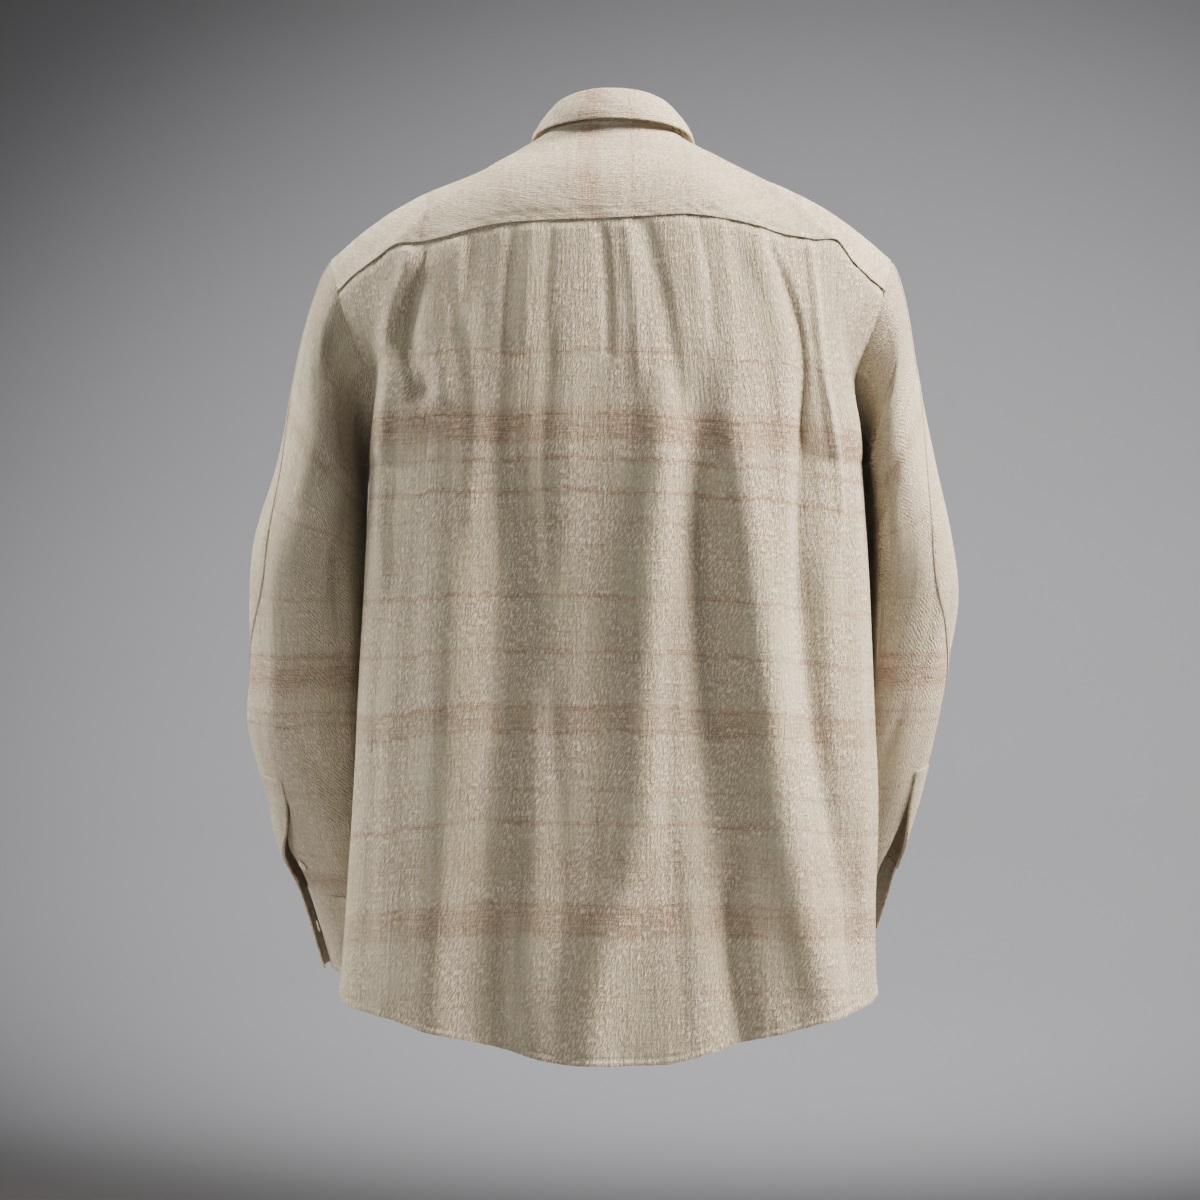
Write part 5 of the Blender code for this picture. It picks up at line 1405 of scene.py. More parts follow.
def button_mesh():
    """Four-hole button with a rolled rim and a sunk middle, lying on the XY plane."""
    profile = [(inset, share) for inset, share in BUTTON_SECTION]
    form = bmesh.new()
    line = [form.verts.new((r * MM, 0.0, z * MM)) for r, z in profile]
    edges = [form.edges.new((line[i], line[i + 1])) for i in range(len(line) - 1)]
    bmesh.ops.spin(
        form, geom=line + edges, axis=(0.0, 0.0, 1.0), cent=(0.0, 0.0, 0.0),
        angle=2.0 * math.pi, steps=BUTTON_SIDES, use_merge=True, use_duplicate=False,
    )
    bmesh.ops.remove_doubles(form, verts=form.verts, dist=0.00001)
    bmesh.ops.recalc_face_normals(form, faces=form.faces)
    mesh = bpy.data.meshes.new("button blank")
    form.to_mesh(mesh)
    form.free()
    blank = bpy.data.objects.new("button blank", mesh)
    bpy.context.scene.collection.objects.link(blank)
    drills = []
    for k in range(4):
        angle = math.radians(45.0 + 90.0 * k)
        form = bmesh.new()
        ring = HOLE_RING * MM
        place = Matrix.Translation((ring * math.cos(angle), ring * math.sin(angle), 0.0))
        bmesh.ops.create_cone(
            form, cap_ends=True, segments=10, radius1=HOLE_RADIUS * MM, radius2=HOLE_RADIUS * MM,
            depth=8.0 * MM, matrix=place,
        )
        drill_mesh = bpy.data.meshes.new("drill")
        form.to_mesh(drill_mesh)
        form.free()
        drill = bpy.data.objects.new("drill", drill_mesh)
        bpy.context.scene.collection.objects.link(drill)
        drills.append(drill)
        bore = blank.modifiers.new("Hole", "BOOLEAN")
        bore.operation = "DIFFERENCE"
        bore.solver = "EXACT"
        bore.object = drill
    graph = bpy.context.evaluated_depsgraph_get()
    done = bpy.data.meshes.new_from_object(blank.evaluated_get(graph))
    for item in drills + [blank]:
        bpy.data.objects.remove(item, do_unlink=True)
    done.polygons.foreach_set("use_smooth", np.ones(len(done.polygons), dtype=bool))
    done.set_sharp_from_angle(angle=math.radians(40.0))
    return done


def thread_bar(start, end, up, width):
    """Corners and faces of one strand over a button: an arched five-sided bar."""
    start, end, up = np.asarray(start), np.asarray(end), np.asarray(up)
    way = (end - start) / np.linalg.norm(end - start)
    side = np.cross(up, way)
    rings = []
    for t in np.linspace(0.0, 1.0, 7):
        middle = start + (end - start) * t + up * width * 1.2 * math.sin(math.pi * t)
        for k in range(5):
            angle = 2.0 * math.pi * k / 5.0
            rings.append(middle + (side * math.cos(angle) + up * math.sin(angle)) * width / 2.0)
    faces = [(5 * i + k, 5 * i + (k + 1) % 5, 5 * i + 5 + (k + 1) % 5,
        5 * i + 5 + k) for i in range(6) for k in range(5)]
    return rings, faces


def set_button(blank, name, nodes, place, normal, up, horn, thread):
    """A button on its thread, standing on the cloth along its normal."""
    normal = Vector(normal).normalized()
    across = Vector(up).cross(normal).normalized()
    turned = Matrix((across, normal.cross(across), normal)).transposed().to_4x4()
    whole = Matrix.Translation(Vector(place) * MM) @ turned
    mesh = blank.copy()
    mesh.transform(whole)
    mesh.materials.clear()
    mesh.materials.append(horn)
    item = bpy.data.objects.new(name, mesh)
    bpy.context.scene.collection.objects.link(item)
    declare(item, nodes)
    rings, faces = [], []
    reach = HOLE_RING * math.cos(math.radians(45.0))
    top = 0.18 * BUTTON_THICK + 0.1
    for shift in (-1.0, 1.0):
        for lean in (-1.0, 1.0):
            a = (-reach, shift * reach + lean * 0.16, top - 0.5)
            b = (reach, shift * reach + lean * 0.16, top - 0.5)
            more, quads = thread_bar(a, b, (0.0, 0.0, 1.0), 0.34)
            faces += [tuple(i + len(rings) for i in quad) for quad in quads]
            rings += more
    strand = bpy.data.meshes.new(name + "_thread")
    strand.from_pydata((np.asarray(rings) * MM).tolist(), [], faces)
    strand.transform(whole)
    strand.polygons.foreach_set("use_smooth", np.ones(len(strand.polygons), dtype=bool))
    strand.materials.append(thread)
    tie = bpy.data.objects.new(name + "_thread", strand)
    bpy.context.scene.collection.objects.link(tie)
    declare(tie)
    return item


def buttonhole(place, way, normal, length):
    """Outline of a worked buttonhole: two close rows joined by bars at the ends."""
    place, way, normal = np.asarray(place), np.asarray(way), np.asarray(normal)
    way = way / np.linalg.norm(way)
    side = np.cross(normal, way)
    turn = np.linspace(0.0, 2.0 * math.pi, 49)
    ring = [place + way * (length / 2.0) * math.copysign(abs(math.cos(a)) ** 0.4, math.cos(a))
            + side * 0.9 * math.copysign(abs(math.sin(a)) ** 0.6, math.sin(a)) for a in turn]
    return np.array(ring)


# Body

def fine_neck_turns():
    band = np.linspace(NECK_LAP_TURN, NECK_BAND_TURN, BAND_STEPS + 1)
    return np.concatenate([band, np.linspace(NECK_BAND_TURN, NECK_FRONT_TURN, FRONT_NECK_COLUMNS)[1:]])


def band_droop(share, height):
    """How far the woven bands sag or rise from level across the back."""
    upper = spline(BAND_DROOP_UPPER, share)[..., 0]
    lower = spline(BAND_DROOP_LOWER, share)[..., 0]
    low = ease((BAND_DROOP_FROM - height) / BAND_DROOP_REACH)
    return upper * (1.0 - low) + lower * low


def hem_push(to_hem):
    """Groove of the hem's stitch line and the fullness of the turned cloth under it."""
    groove = np.exp(-(((to_hem - HEM_DEPTH + HEM_STITCH_IN) / HEM_GROOVE_REACH) ** 2))
    full = np.exp(-(((to_hem - HEM_FULL_IN) / HEM_FULL_REACH) ** 2))
    return HEM_FULL * full - HEM_GROOVE * groove


def build_body(looks):
    share = np.linspace(-1.0, 1.0, BACK_COLUMNS)
    yoke = yoke_panel(share, SHOULDER_STEPS, YOKE_ROWS)
    back = back_panel(share, BODY_ROWS, CHEST_ROWS)
    smooth_height = back[..., 2].copy()
    side_fade = ease((1.0 - np.abs(share)) / 0.12)[None]
    down = column_lengths(back)
    top_fade = ease(down / 10.0)
    push = crease_push(BACK_CREASES, back[..., 0], back[..., 2]) * side_fade * top_fade
    push = push - LEDGE * (1.0 - ease(down / LEDGE_REACH))
    back = back + outward(back, BODY_MIDDLE) * push[..., None]
    across = row_lengths(back)
    across = across - across[:, BACK_COLUMNS // 2:BACK_COLUMNS // 2 + 1]
    wide = share[None] * BACK_HALF_CLOTH * np.ones_like(across)
    cloth = np.stack([wide, smooth_height - band_droop(share[None], smooth_height)], axis=-1) * MM
    flat_back = back
    back = crinkled(back, cloth, 11)
    keep = ease(np.minimum(down / 8.0, 1.0)) * side_fade
    back = flat_back + (back - flat_back) * keep[..., None]
    back = pucker(back, down, across + 400.0, 71)
    to_hem = down[-1:] - down
    back = back + outward(back, BODY_MIDDLE) * hem_push(to_hem)[..., None]
    back = pucker(back, to_hem, across + 400.0, 75, 0.7, 12.0)
    yoke_middle = yoke[:, SHOULDER_STEPS:SHOULDER_STEPS + BACK_COLUMNS]
    under = yoke_middle[-8]
    n = outward(yoke_middle, BODY_MIDDLE)[-1]
    sunk = n * (LAID + ALLOWANCE)
    strip = np.stack([under - sunk, (under + yoke_middle[-1]) / 2.0 - sunk], axis=0)
    whole = np.concatenate([strip, trim_edges(back, SEAM_TRIM, SEAM_TRIM, 0.0, 0.0)], axis=0)
    strip_cloth = np.repeat(cloth[:1], 2, axis=0) + np.array([[[0.0, 6.0]], [[0.0, 3.0]]]) * MM
    sewn("back_cloth", whole, np.concatenate([strip_cloth, cloth], axis=0), looks["back"],
        nodes=["back"])

    rows = row_lengths(yoke)
    yoke_cloth = np.stack([yoke[..., 0], -column_lengths(yoke)], axis=-1) * MM
    yoke_down = column_lengths(yoke)
    from_seam = yoke_down[-1:] - yoke_down
    waved = crinkled(yoke, yoke_cloth, 31, 0.7)
    keep = ease(np.minimum(yoke_down, from_seam) / 14.0)
    waved = yoke + (waved - yoke) * keep[..., None]
    groove = np.exp(-(((from_seam - YOKE_STITCH_IN) / YOKE_GROOVE_REACH) ** 2))
    groove = groove + YOKE_EDGE_SHARE * np.exp(-(((from_seam - YOKE_EDGE_IN) / YOKE_EDGE_REACH) ** 2))
    waved = pucker(waved, from_seam - 4.0, rows + 100.0, 71, 0.5, 9.0)
    waved = waved - outward(yoke, BODY_MIDDLE) * (YOKE_GROOVE * groove)[..., None]
    sewn("yoke_cloth", trim_edges(waved, SEAM_TRIM, SEAM_TRIM, 0.0, SEAM_TRIM), yoke_cloth, looks["yoke"],
        nodes=["yoke"])

    fronts = {}
    seam_shares = graded(YOKE_ROWS, 0.90, 10)
    turns = fine_neck_turns()
    for side, name, lift in ((1, "left_front", OVERLAP_LIFT), (-1, "right_front", -OVERLAP_LIFT)):
        front = front_panel(side, turns, seam_shares, BODY_ROWS, CHEST_ROWS, lift)
        down = column_lengths(front)
        across = row_lengths(front)
        front_cloth = np.stack([across * side, front[..., 2] + 0.0 * across], axis=-1) * MM
        flat_front = front
        waved = crinkled(front, front_cloth, 41 + side)
        edge = np.minimum(np.minimum(down / 14.0, (across - 26.0) / 30.0), (across[:, -1:] - across) / 20.0)
        front = flat_front + (waved - flat_front) * ease(edge)[..., None]
        to_hem = down[-1:] - down
        front = front + outward(front, BODY_MIDDLE) * hem_push(to_hem)[..., None]
        front = pucker(front, to_hem, across + 300.0, 78 + side, 0.6, 12.0)
        fronts[side] = front
        sewn(name + "_cloth", trim_edges(front, 0.0, SEAM_TRIM, SEAM_TRIM, 0.0), front_cloth, looks["back"],
            nodes=[name])
    return back, yoke, fronts


def build_hems(back, fronts, looks):
    """Narrow hem, turned twice inside the lower edge of each panel."""
    for name, panel in (("back", back), ("left_front", fronts[1]), ("right_front", fronts[-1])):
        lower = panel[::-1]
        lines = [inset_line(lower[:8], inset, -LAID, BODY_MIDDLE) for inset in (0.2, 2.0, 4.2, HEM_DEPTH)]
        strip = np.stack(lines, axis=0)
        sewn(name + "_hem", strip, plain_cloth(strip), looks["trim"], wall=1.1)


def build_body_seams(back, fronts, looks):
    """Felled side seams from the armhole down to the hem."""
    strips = {}
    for side, word in ((1, "left"), (-1, "right")):
        column = -1 if side > 0 else 0
        inner = -3 if side > 0 else 2
        first = back[CHEST_ROWS - 1:, column]
        strips[side] = seam_fell(
            first, back[CHEST_ROWS - 1:, inner], fronts[side][CHEST_ROWS - 1:,
                -1], fronts[side][CHEST_ROWS - 1:, -3],
            SEAM_REACH, SEAM_LIFT, BODY_MIDDLE,
        )
        sewn(word + "_side_seam", strips[side], plain_cloth(strips[side]), looks["trim"],
            wall=SEAM_WALL)
    return strips


def armhole_edges(side, back, yoke, front):
    """Edge points of the panels round an armhole, and the way into the panel at each."""
    column, inner = (-1, -2) if side > 0 else (0, 1)
    rows = np.arange(CHEST_ROWS - 1, -1, -1)
    points = [back[rows, column]]
    ways = [back[rows, inner] - back[rows, column]]
    if side > 0:
        columns = np.arange(yoke.shape[1] - SHOULDER_STEPS - 1, yoke.shape[1])
    else:
        columns = np.arange(SHOULDER_STEPS, -1, -1)
    points.append(yoke[-1, columns][1:])
    ways.append((yoke[-2, columns] - yoke[-1, columns])[1:])
    rows = np.arange(0, CHEST_ROWS)
    points.append(front[rows, -1][1:])
    ways.append((front[rows, -2] - front[rows, -1])[1:])
    ways = np.concatenate(ways)
    return np.concatenate(points), ways / np.linalg.norm(ways, axis=-1, keepdims=True)


def build_armhole(word, edges, ways, sleeve_top, sleeve_next, looks):
    """Seam allowance inside the armhole, bound to body and sleeve."""
    near = np.argmin(((edges[:, None] - sleeve_top[None]) ** 2).sum(axis=-1), axis=1)
    out = sleeve_next[near] - sleeve_top[near]
    out = out / np.linalg.norm(out, axis=-1, keepdims=True)
    middle = edges.mean(axis=0)
    n = np.cross(np.gradient(edges, axis=0), out - ways)
    n = n / np.maximum(np.linalg.norm(n, axis=-1, keepdims=True), 1e-6)
    if np.sum(n * (edges - middle)) < 0.0:
        n = -n
    strip = np.stack([
        edges + ways * 5.0 - n * 1.6, edges + ways * 2.0 - n * 1.2, edges - n * 0.9,
        edges + out * 2.0 - n * 1.2, edges + out * 5.0 - n * 1.6,
    ], axis=1)
    sewn(word + "_armhole_seam", strip, plain_cloth(strip), looks["trim"], wall=SEAM_WALL)


# Sleeves

def sleeve_cloth(places, turns, side):
    """Cloth coordinates of a sleeve: round it, and down it with the bands square to its length."""
    u = turns * SLEEVE_RADIUS * math.pi / 180.0 * side
    v = -np.broadcast_to(np.asarray(places)[:, None], turns.shape) * SLEEVE_LENGTH
    return np.stack([u, v], axis=-1) * MM


def sleeve_crease_push(creases, places, turns):
    """Push of the creases of a sleeve; each runs between two points given as turn and place."""
    total = np.zeros(turns.shape)
    u = turns * SLEEVE_RADIUS * math.pi / 180.0
    v = np.broadcast_to(np.asarray(places)[:, None], turns.shape) * SLEEVE_LENGTH
    for _, deep, half, (turn_a, place_a), (turn_b, place_b) in creases:
        for whole_turn in (-360.0, 0.0, 360.0):
            a = np.array([(turn_a + whole_turn) * SLEEVE_RADIUS * math.pi / 180.0, place_a * SLEEVE_LENGTH])
            b = np.array([(turn_b + whole_turn) * SLEEVE_RADIUS * math.pi / 180.0, place_b * SLEEVE_LENGTH])
            way = b - a
            length = np.linalg.norm(way)
            way = way / length
            along = (u - a[0]) * way[0] + (v - a[1]) * way[1]
            away = -(u - a[0]) * way[1] + (v - a[1]) * way[0]
            share = along / length
            fade = ease(share / 0.35) * ease((1.0 - share) / 0.35)
            bend = 3.0 * np.sin(share * math.pi)
            total = total + deep * fade * np.exp(-(((away - bend) / half) ** 2))
    return total


def finished_sleeve(grid, places, turns, side, seed):
    """A sleeve piece with its creases and small waves, still at its edges."""
    centre = grid.mean(axis=(0, 1))
    middles = grid.mean(axis=1, keepdims=True)
    push = sleeve_crease_push(SLEEVE_CREASES[side], places, turns)
    n = outward(grid, middles)
    cloth = sleeve_cloth(places, turns, side)
    u, v = cloth[..., 0] / MM, cloth[..., 1] / MM
    for number, (wide, long, deep) in enumerate(CRINKLES):
        push = push + 0.9 * deep * ripple(u / wide, v / long, seed + number)
    down = column_lengths(grid)
    push = push * ease(down / 16.0) - SLEEVE_LEDGE * (1.0 - ease(down / LEDGE_REACH))
    return grid + n * push[..., None], cloth, centre


def build_sleeves(looks):
    made = {}
    for side, word in ((1, "left"), (-1, "right")):
        upper = np.linspace(0.0, SLIT_START, SLEEVE_UPPER_ROWS)
        lower = np.linspace(SLIT_START, CUFF_START + CUFF_TUCK, SLEEVE_SLIT_ROWS)[1:]
        places = np.concatenate([upper, lower])
        slit_row = len(upper) - 1
        turns, under = sleeve_back_turns(side, places)
        grid = sleeve_grid(side, places, turns, under)
        grid, cloth, _ = finished_sleeve(grid, places, turns, side, 100 + side)
        grid = trim_edges(grid, SEAM_TRIM, SEAM_TRIM, armhole_gap(turns[0]), 0.0)
        sewn(word + "_sleeve_back_cloth", grid, cloth, looks["sleeve"],
             nodes=[word + "_sleeve_back"], slit=(OVER_COLUMNS, slit_row))
        front_turns, front_under = sleeve_front_turns(side, places)
        front = sleeve_grid(side, places, front_turns, front_under)
        front, front_cloth, _ = finished_sleeve(front, places, front_turns, side, 100 + side)
        front = trim_edges(front, SEAM_TRIM, SEAM_TRIM, armhole_gap(front_turns[0]), 0.0)
        sewn(word + "_sleeve_front_cloth", front, front_cloth, looks["sleeve"],
            nodes=[word + "_sleeve_front"])
        middles = np.concatenate([grid, front], axis=1).mean(axis=1)
        outer = seam_fell(grid[1:, 0], grid[1:, 2], front[1:, -1], front[1:, -3], SEAM_REACH, SEAM_LIFT,
            middles[1:])
        inner = seam_fell(grid[1:, -1], grid[1:, -3], front[1:, 0], front[1:, 2], SEAM_REACH, SEAM_LIFT,
            middles[1:])
        sewn(word + "_sleeve_outer_seam", outer, plain_cloth(outer), looks["trim"], wall=SEAM_WALL)
        sewn(word + "_sleeve_under_seam", inner, plain_cloth(inner), looks["trim"], wall=SEAM_WALL)
        made[side] = {
            "grid": grid, "front": front, "slit_row": slit_row, "places": places, "turns": turns,
            "outer": outer, "middles": middles, "cloth": cloth,
        }
    return made


def build_cuffs(looks):
    cuffs = {}
    for side, word in ((1, "left"), (-1, "right")):
        places = np.linspace(CUFF_START, 1.0, CUFF_ROWS)
        turns, under = cuff_turns(side, places)
        grid = sleeve_grid(side, places, turns, under)
        cloth = sleeve_cloth(places, turns, side)
        u, v = cloth[..., 0] / MM, cloth[..., 1] / MM
        push = 0.5 * ripple(u / 16.0, v / 40.0, 140 + side) + 0.3 * ripple(u / 7.0, v / 20.0, 150 + side)
        grid = grid + outward(grid, grid.mean(axis=1, keepdims=True)) * push[..., None]
        cuffs[side] = grid
        sewn(word + "_cuff_cloth", grid, cloth, looks["trim"], wall=TRIM_CLOTH,
            nodes=[word + "_cuff"], rounded=True)
    return cuffs


def build_gauntlets(sleeves, looks):
    strips = {}
    for side, word in ((1, "left"), (-1, "right")):
        grid, slit_row = sleeves[side]["grid"], sleeves[side]["slit_row"]
        over = grid[:, :OVER_COLUMNS]
        raised = moved_out(over, CLOTH + GAUNTLET_PROUD, sleeves[side]["middles"][:, None])
        step = SLIT_START * SLEEVE_LENGTH / (SLEEVE_UPPER_ROWS - 1)
        above = int(round(GAUNTLET_RISE / step))
        strip = raised[slit_row - above:, OVER_COLUMNS - GAUNTLET_COLUMNS:]
        strips[side] = strip
        sewn(word + "_gauntlet_cloth", strip, plain_cloth(strip), looks["trim"],
             wall=1.0, nodes=[word + "_gauntlet"])
    return strips


# Collar

def fine_collar_turns(limit):
    fine = np.linspace(0.0, limit, COLLAR_COLUMNS)
    return np.concatenate([-fine[::-1], fine[1:]])


def build_collar(looks):
    turns = fine_collar_turns(NECK_LAP_TURN)
    stand = stand_grid(turns, STAND_ROWS)
    sewn("collar_stand_cloth", stand, plain_cloth(stand), looks["collar"], wall=TRIM_CLOTH,
         nodes=["collar_stand"], rounded=True)
    turns = fine_collar_turns(LEAF_END_TURN)
    leaf = leaf_grid(turns, LEAF_ROWS)
    cloth = np.stack([np.broadcast_to(leaf[-1, :, 0][None], leaf.shape[:2]), -column_lengths(leaf)],
        axis=-1) * MM
    push = 0.35 * ripple(row_lengths(leaf) / 14.0, column_lengths(leaf) / 14.0, 171)
    leaf = leaf + outward(leaf, NECK_MIDDLE) * push[..., None]
    sewn("collar_leaf_cloth", leaf, cloth, looks["collar"], wall=TRIM_CLOTH,
         nodes=["collar_leaf"], rounded=True)
    return stand, leaf


# Sewn lines

def sewn_rows(back, yoke, fronts, body_seams, sleeves, cuffs, gauntlets, stand, leaf):
    """Every line of stitches, by the piece of thread that it belongs to."""
    up = 0.5 * CLOTH + THREAD_UP
    trim_up = 0.5 * TRIM_CLOTH + THREAD_UP
    body = []
    seam_up = yoke[::-1, SHOULDER_STEPS:SHOULDER_STEPS + BACK_COLUMNS]
    for inset in (YOKE_EDGE_IN, YOKE_STITCH_IN):
        body.append(inset_line(seam_up, inset, up, BODY_MIDDLE))
    for step in (1, -1):
        edge = yoke.transpose(1, 0, 2)[::step]
        for inset in (1.4, 6.8):
            body.append(inset_line(edge, inset, up, BODY_MIDDLE))
    for panel in (back, fronts[1], fronts[-1]):
        body.append(inset_line(panel[::-1], HEM_DEPTH - HEM_STITCH_IN, up, BODY_MIDDLE))
    for strip in body_seams.values():
        raised = moved_out(strip, SEAM_THREAD_UP, BODY_MIDDLE)
        body.append(raised[:, 1])
        body.append(raised[:, 3])
    band = []
    raised = moved_out(fronts[1][:, :BAND_STEPS + 1], LAID + 0.62, BODY_MIDDLE)
    band.append(raised[:, 1])
    band.append(raised[:, -2])
    arms = []
    for side in (1, -1):
        sleeve = sleeves[side]
        strip = sleeve["outer"]
        n = strip - sleeve["middles"][1:, None]
        n = n / np.linalg.norm(n, axis=-1, keepdims=True)
        arms.append((strip + n * SEAM_THREAD_UP)[:, 1])
        arms.append((strip + n * SEAM_THREAD_UP)[:, 3])
        cuff = cuffs[side]
        middles = cuff.mean(axis=1, keepdims=True)
        raised = moved_out(cuff, trim_up, middles)
        arms.append(edge_row(raised, 5.0))
        laid = moved_out(gauntlets[side], 0.62, sleeve["middles"].mean(axis=0))
        arms.append(edge_row(laid, 1.8))
        arms.append(inset_line_plain(laid, 1.8))
    collar = [
        edge_row(moved_out(leaf[3:], trim_up, NECK_MIDDLE), 5.0)[:],
        inset_line(stand[::-1], 2.0, trim_up, NECK_MIDDLE),
        inset_line(stand, 2.0, trim_up, NECK_MIDDLE),
    ]
    return {"body_stitching": body, "band_stitching": band, "sleeve_stitching": arms,
        "collar_stitching": collar}


def edge_row(points, inset):
    """Line a little way in from the first, lower and last edges of a grid, all in one."""
    left = inset_line_plain(points.transpose(1, 0, 2), inset)
    right = inset_line_plain(points.transpose(1, 0, 2)[::-1], inset)
    low = inset_line_plain(points[::-1], inset)
    first = np.searchsorted(row_lengths(points)[-1], inset)
    last = np.searchsorted(row_lengths(points)[-1], row_lengths(points)[-1, -1] - inset)
    rows = np.searchsorted(column_lengths(points)[:, 0], column_lengths(points)[-1, 0] - inset)
    return np.concatenate([left[:rows], low[first:last], right[:rows][::-1]], axis=0)


def inset_line_plain(points, inset):
    along = column_lengths(points)
    columns = range(points.shape[1])
    return np.array([[np.interp(inset, along[:, c], points[:, c, k]) for k in range(3)] for c in columns])


def build_buttons(fronts, stand, sleeves, cuffs, looks, tree):
    blank = button_mesh()
    horn, thread = looks["button"], looks["thread"]
    holes = []
    middle = BAND_STEPS / 2.0
    band = moved_out(fronts[1][:, :BAND_STEPS + 1], LAID, BODY_MIDDLE)
    normal = outward(band, BODY_MIDDLE)
    for number, height in enumerate(BUTTON_HEIGHTS, start=1):
        row = row_at_height(band, middle, height)
        place, n = at_share(band, row, middle), at_share(normal, row, middle)
        set_button(blank, f"front_button_{number}_turned", [f"front_button_{number}"],
                   place + n * BUTTON_STAND, n, (0.0, 0.0, 1.0), horn, thread)
        holes.append(buttonhole(place + n * 0.72, (0.0, 0.0, 1.0), n, 14.0))
    n = outward(stand, NECK_MIDDLE)
    column = stand.shape[1] - 1 - COLLAR_BUTTON_COLUMN
    row = (STAND_ROWS - 1) / 2.0
    place, face = at_share(stand, row, column), at_share(n, row, column)
    set_button(blank, "collar_button_turned", ["collar_button"], place + face * (BUTTON_STAND + 0.45), face,
        (0.0, 0.0, 1.0), horn, thread)
    for side, word in ((1, "left"), (-1, "right")):
        cuff = cuffs[side]
        n = outward(cuff, cuff.mean(axis=1, keepdims=True))
        row, column = (CUFF_ROWS - 1) / 2.0, cuff.shape[1] - 1 - CUFF_BUTTON_IN
        place, face = at_share(cuff, row, column), at_share(n, row, column)
        down = cuff[-1, int(column)] - cuff[0, int(column)]
        set_button(blank, word + "_cuff_button_turned", [word + "_cuff_button"],
            place + face * (BUTTON_STAND + 0.45), face, -down, horn, thread)
        across = cuff[int(row), CUFF_BUTTON_IN] - cuff[int(row), 0]
        hole, face = at_share(cuff, row, CUFF_BUTTON_IN), at_share(n, row, CUFF_BUTTON_IN)
        holes.append(buttonhole(hole + face * (0.5 * TRIM_CLOTH + 0.1), across, face, 13.0))
        sleeve = sleeves[side]
        under = sleeve["grid"][:, OVER_COLUMNS:]
        n = outward(under, sleeve["middles"][:, None])
        row = sleeve["slit_row"] + SLIT_BUTTON_ROW
        place, face = at_share(under, row, SLIT_BUTTON_COLUMN), at_share(n, row, SLIT_BUTTON_COLUMN)
        down = under[int(row) + 2, 2] - under[int(row) - 2, 2]
        set_button(blank, word + "_sleeve_button_turned", [word + "_sleeve_button"],
            place + face * BUTTON_STAND, face, -down, horn, thread)
    bpy.data.meshes.remove(blank)
    stitching("buttonholes", holes, tree, thread, 0.9)


# Studio

def build_studio():
    """Seamless floor that curves up into a low wall all round, lit by soft round lamps with a cone each."""
    turns = np.radians(np.linspace(0.0, 360.0, 97))
    rings = np.array([
        [r * np.cos(turns), r * np.sin(turns), np.full(turns.shape, z)] for r, z in FLOOR_SECTION
    ])
    points = rings.transpose(0, 2, 1)
    number = np.arange(points.shape[0] * points.shape[1]).reshape(points.shape[:2])
    faces = np.stack([number[:-1, :-1], number[:-1, 1:], number[1:, 1:], number[1:, :-1]],
        axis=-1).reshape(-1, 4)
    mesh = bpy.data.meshes.new("studio_floor")
    mesh.from_pydata(points.reshape(-1, 3).tolist(), [], faces[:, ::-1].tolist())
    mesh.polygons.foreach_set("use_smooth", np.ones(len(mesh.polygons), dtype=bool))
    paper = bpy.data.materials.new("matt grey background paper")
    paper.use_nodes = True
    surface = paper.node_tree.nodes["Principled BSDF"]
    surface.inputs["Base Color"].default_value = linear("#A6A6A9")
    surface.inputs["Roughness"].default_value = 1.0
    surface.inputs["Specular IOR Level"].default_value = 0.1
    mesh.materials.append(paper)
    floor = bpy.data.objects.new("studio_floor", mesh)
    bpy.context.scene.collection.objects.link(floor)
    for name, place, aim, wide, power, tint, cone in LAMPS:
        lamp = bpy.data.lights.new(name, "SPOT")
        lamp.spot_size = math.radians(cone)
        lamp.spot_blend = 1.0
        lamp.shadow_soft_size = wide / 2.0
        lamp.energy = power
        lamp.color = linear(tint)[:3]
        item = bpy.data.objects.new(name, lamp)
        item.location = place
        item.rotation_euler = (Vector(aim) - Vector(place)).to_track_quat("-Z", "Y").to_euler()
        bpy.context.scene.collection.objects.link(item)
    world = bpy.data.worlds.new("soft room")
    world.use_nodes = True
    world.node_tree.nodes["Background"].inputs["Color"].default_value = linear(ROOM_TINT)
    world.node_tree.nodes["Background"].inputs["Strength"].default_value = ROOM_STRENGTH
    bpy.context.scene.world = world


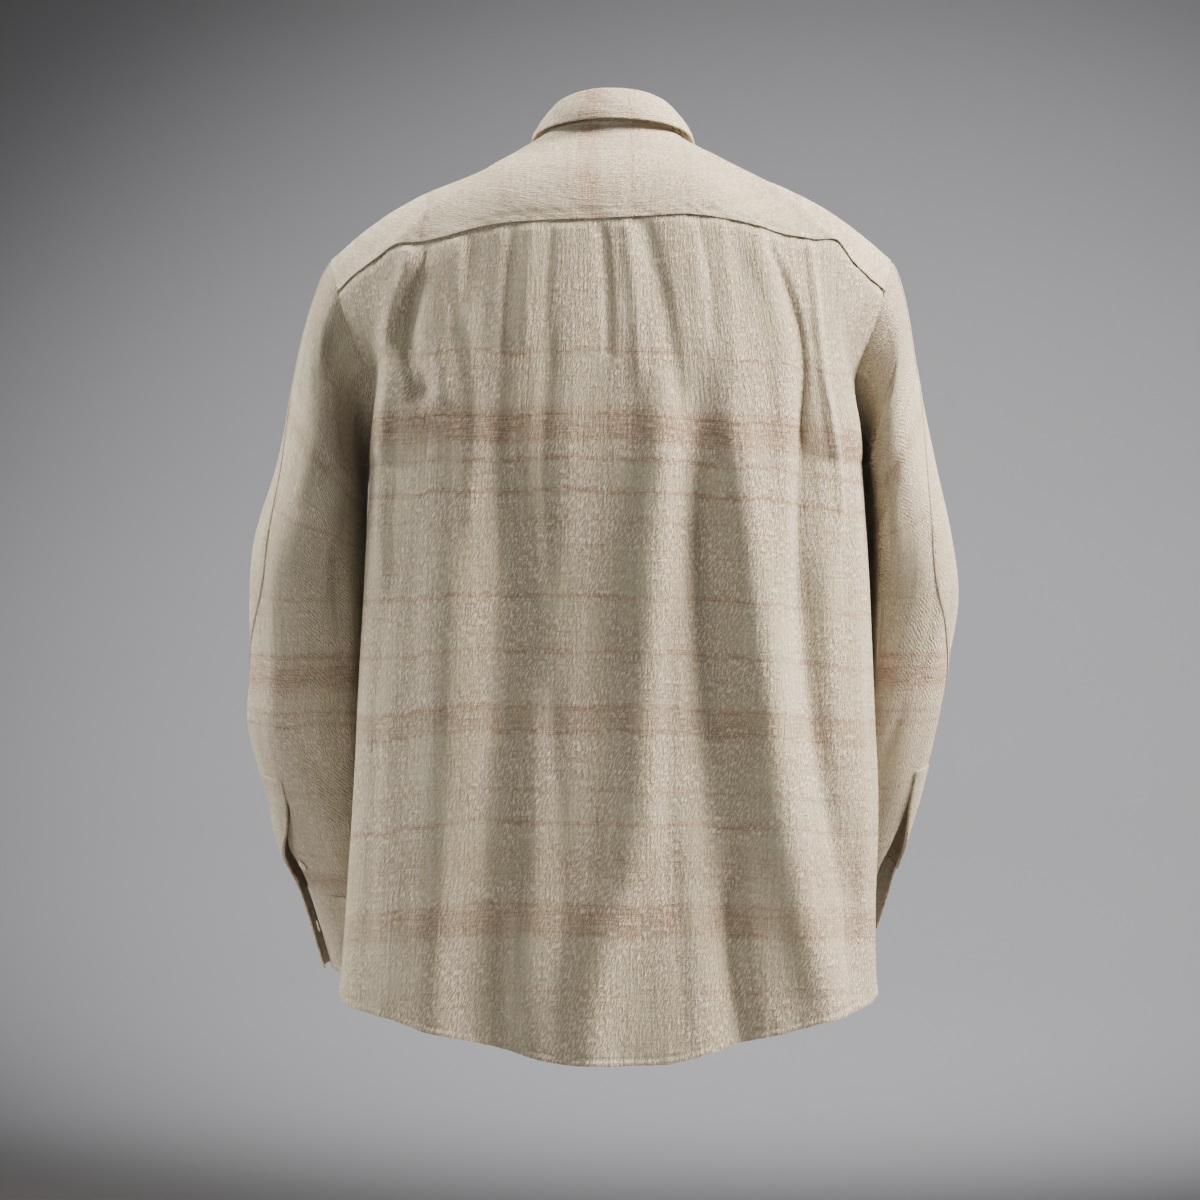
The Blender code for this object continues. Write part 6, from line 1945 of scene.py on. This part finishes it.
def build_camera():
    view = bpy.data.cameras.new("camera")
    view.sensor_width = 36.0
    view.lens = 18.0 / math.tan(math.radians(CAMERA_ANGLE / 2.0))
    item = bpy.data.objects.new("camera", view)
    item.location = CAMERA_PLACE
    item.rotation_euler = (math.radians(90.0), 0.0, math.radians(180.0))
    bpy.context.scene.collection.objects.link(item)
    bpy.context.scene.camera = item


def main():
    looks = {
        "back": shirting("washed slub cotton, bands across", BACK_BANDS, -800.0, 20.0),
        "sleeve": shirting("washed slub cotton, sleeves", SLEEVE_BANDS, -640.0, 20.0, crinkle=0.7,
            twill=1.0),
        "yoke": shirting("washed slub cotton, yoke cut crosswise", YOKE_BANDS, -260.0, 260.0,
            crosswise=True, crinkle=0.6),
        "collar": shirting("washed slub cotton, collar cut crosswise", YOKE_BANDS, -260.0, 260.0,
            crosswise=True, crinkle=0.6),
        "trim": shirting("washed slub cotton, cuffs and bands", TRIM_BANDS, -800.0, 20.0, crinkle=0.7,
            twill=0.6),
        "thread": sewing_thread(),
        "button": button_nut(),
    }
    back, yoke, fronts = build_body(looks)
    build_hems(back, fronts, looks)
    body_seams = build_body_seams(back, fronts, looks)
    band = moved_out(fronts[1][:, :BAND_STEPS + 1], LAID, BODY_MIDDLE)
    band_cloth = plain_cloth(band)
    sewn("front_band_cloth", trim_edges(band, 0.0, 0.0, 0.3, 0.0), band_cloth, looks["trim"],
        wall=1.0, nodes=["front_band"])
    sleeves = build_sleeves(looks)
    for side, word in ((1, "left"), (-1, "right")):
        edges, ways = armhole_edges(side, back, yoke, fronts[side])
        tops = np.concatenate([sleeves[side]["grid"][0], sleeves[side]["front"][0]])
        nexts = np.concatenate([sleeves[side]["grid"][3], sleeves[side]["front"][3]])
        build_armhole(word, edges, ways, tops, nexts, looks)
    cuffs = build_cuffs(looks)
    gauntlets = build_gauntlets(sleeves, looks)
    stand, leaf = build_collar(looks)
    tree = stitch_tree(looks["thread"])
    for name, rows in sewn_rows(back, yoke, fronts, body_seams, sleeves, cuffs, gauntlets, stand,
        leaf).items():
        stitching(name, rows, tree, looks["thread"])
    build_buttons(fronts, stand, sleeves, cuffs, looks, tree)
    bpy.data.node_groups.remove(tree)
    build_studio()
    build_camera()


main()
print("CLOTH", json.dumps({k: [round(x, 4) for x in v] for k, v in CLOTH_AREAS.items()}))
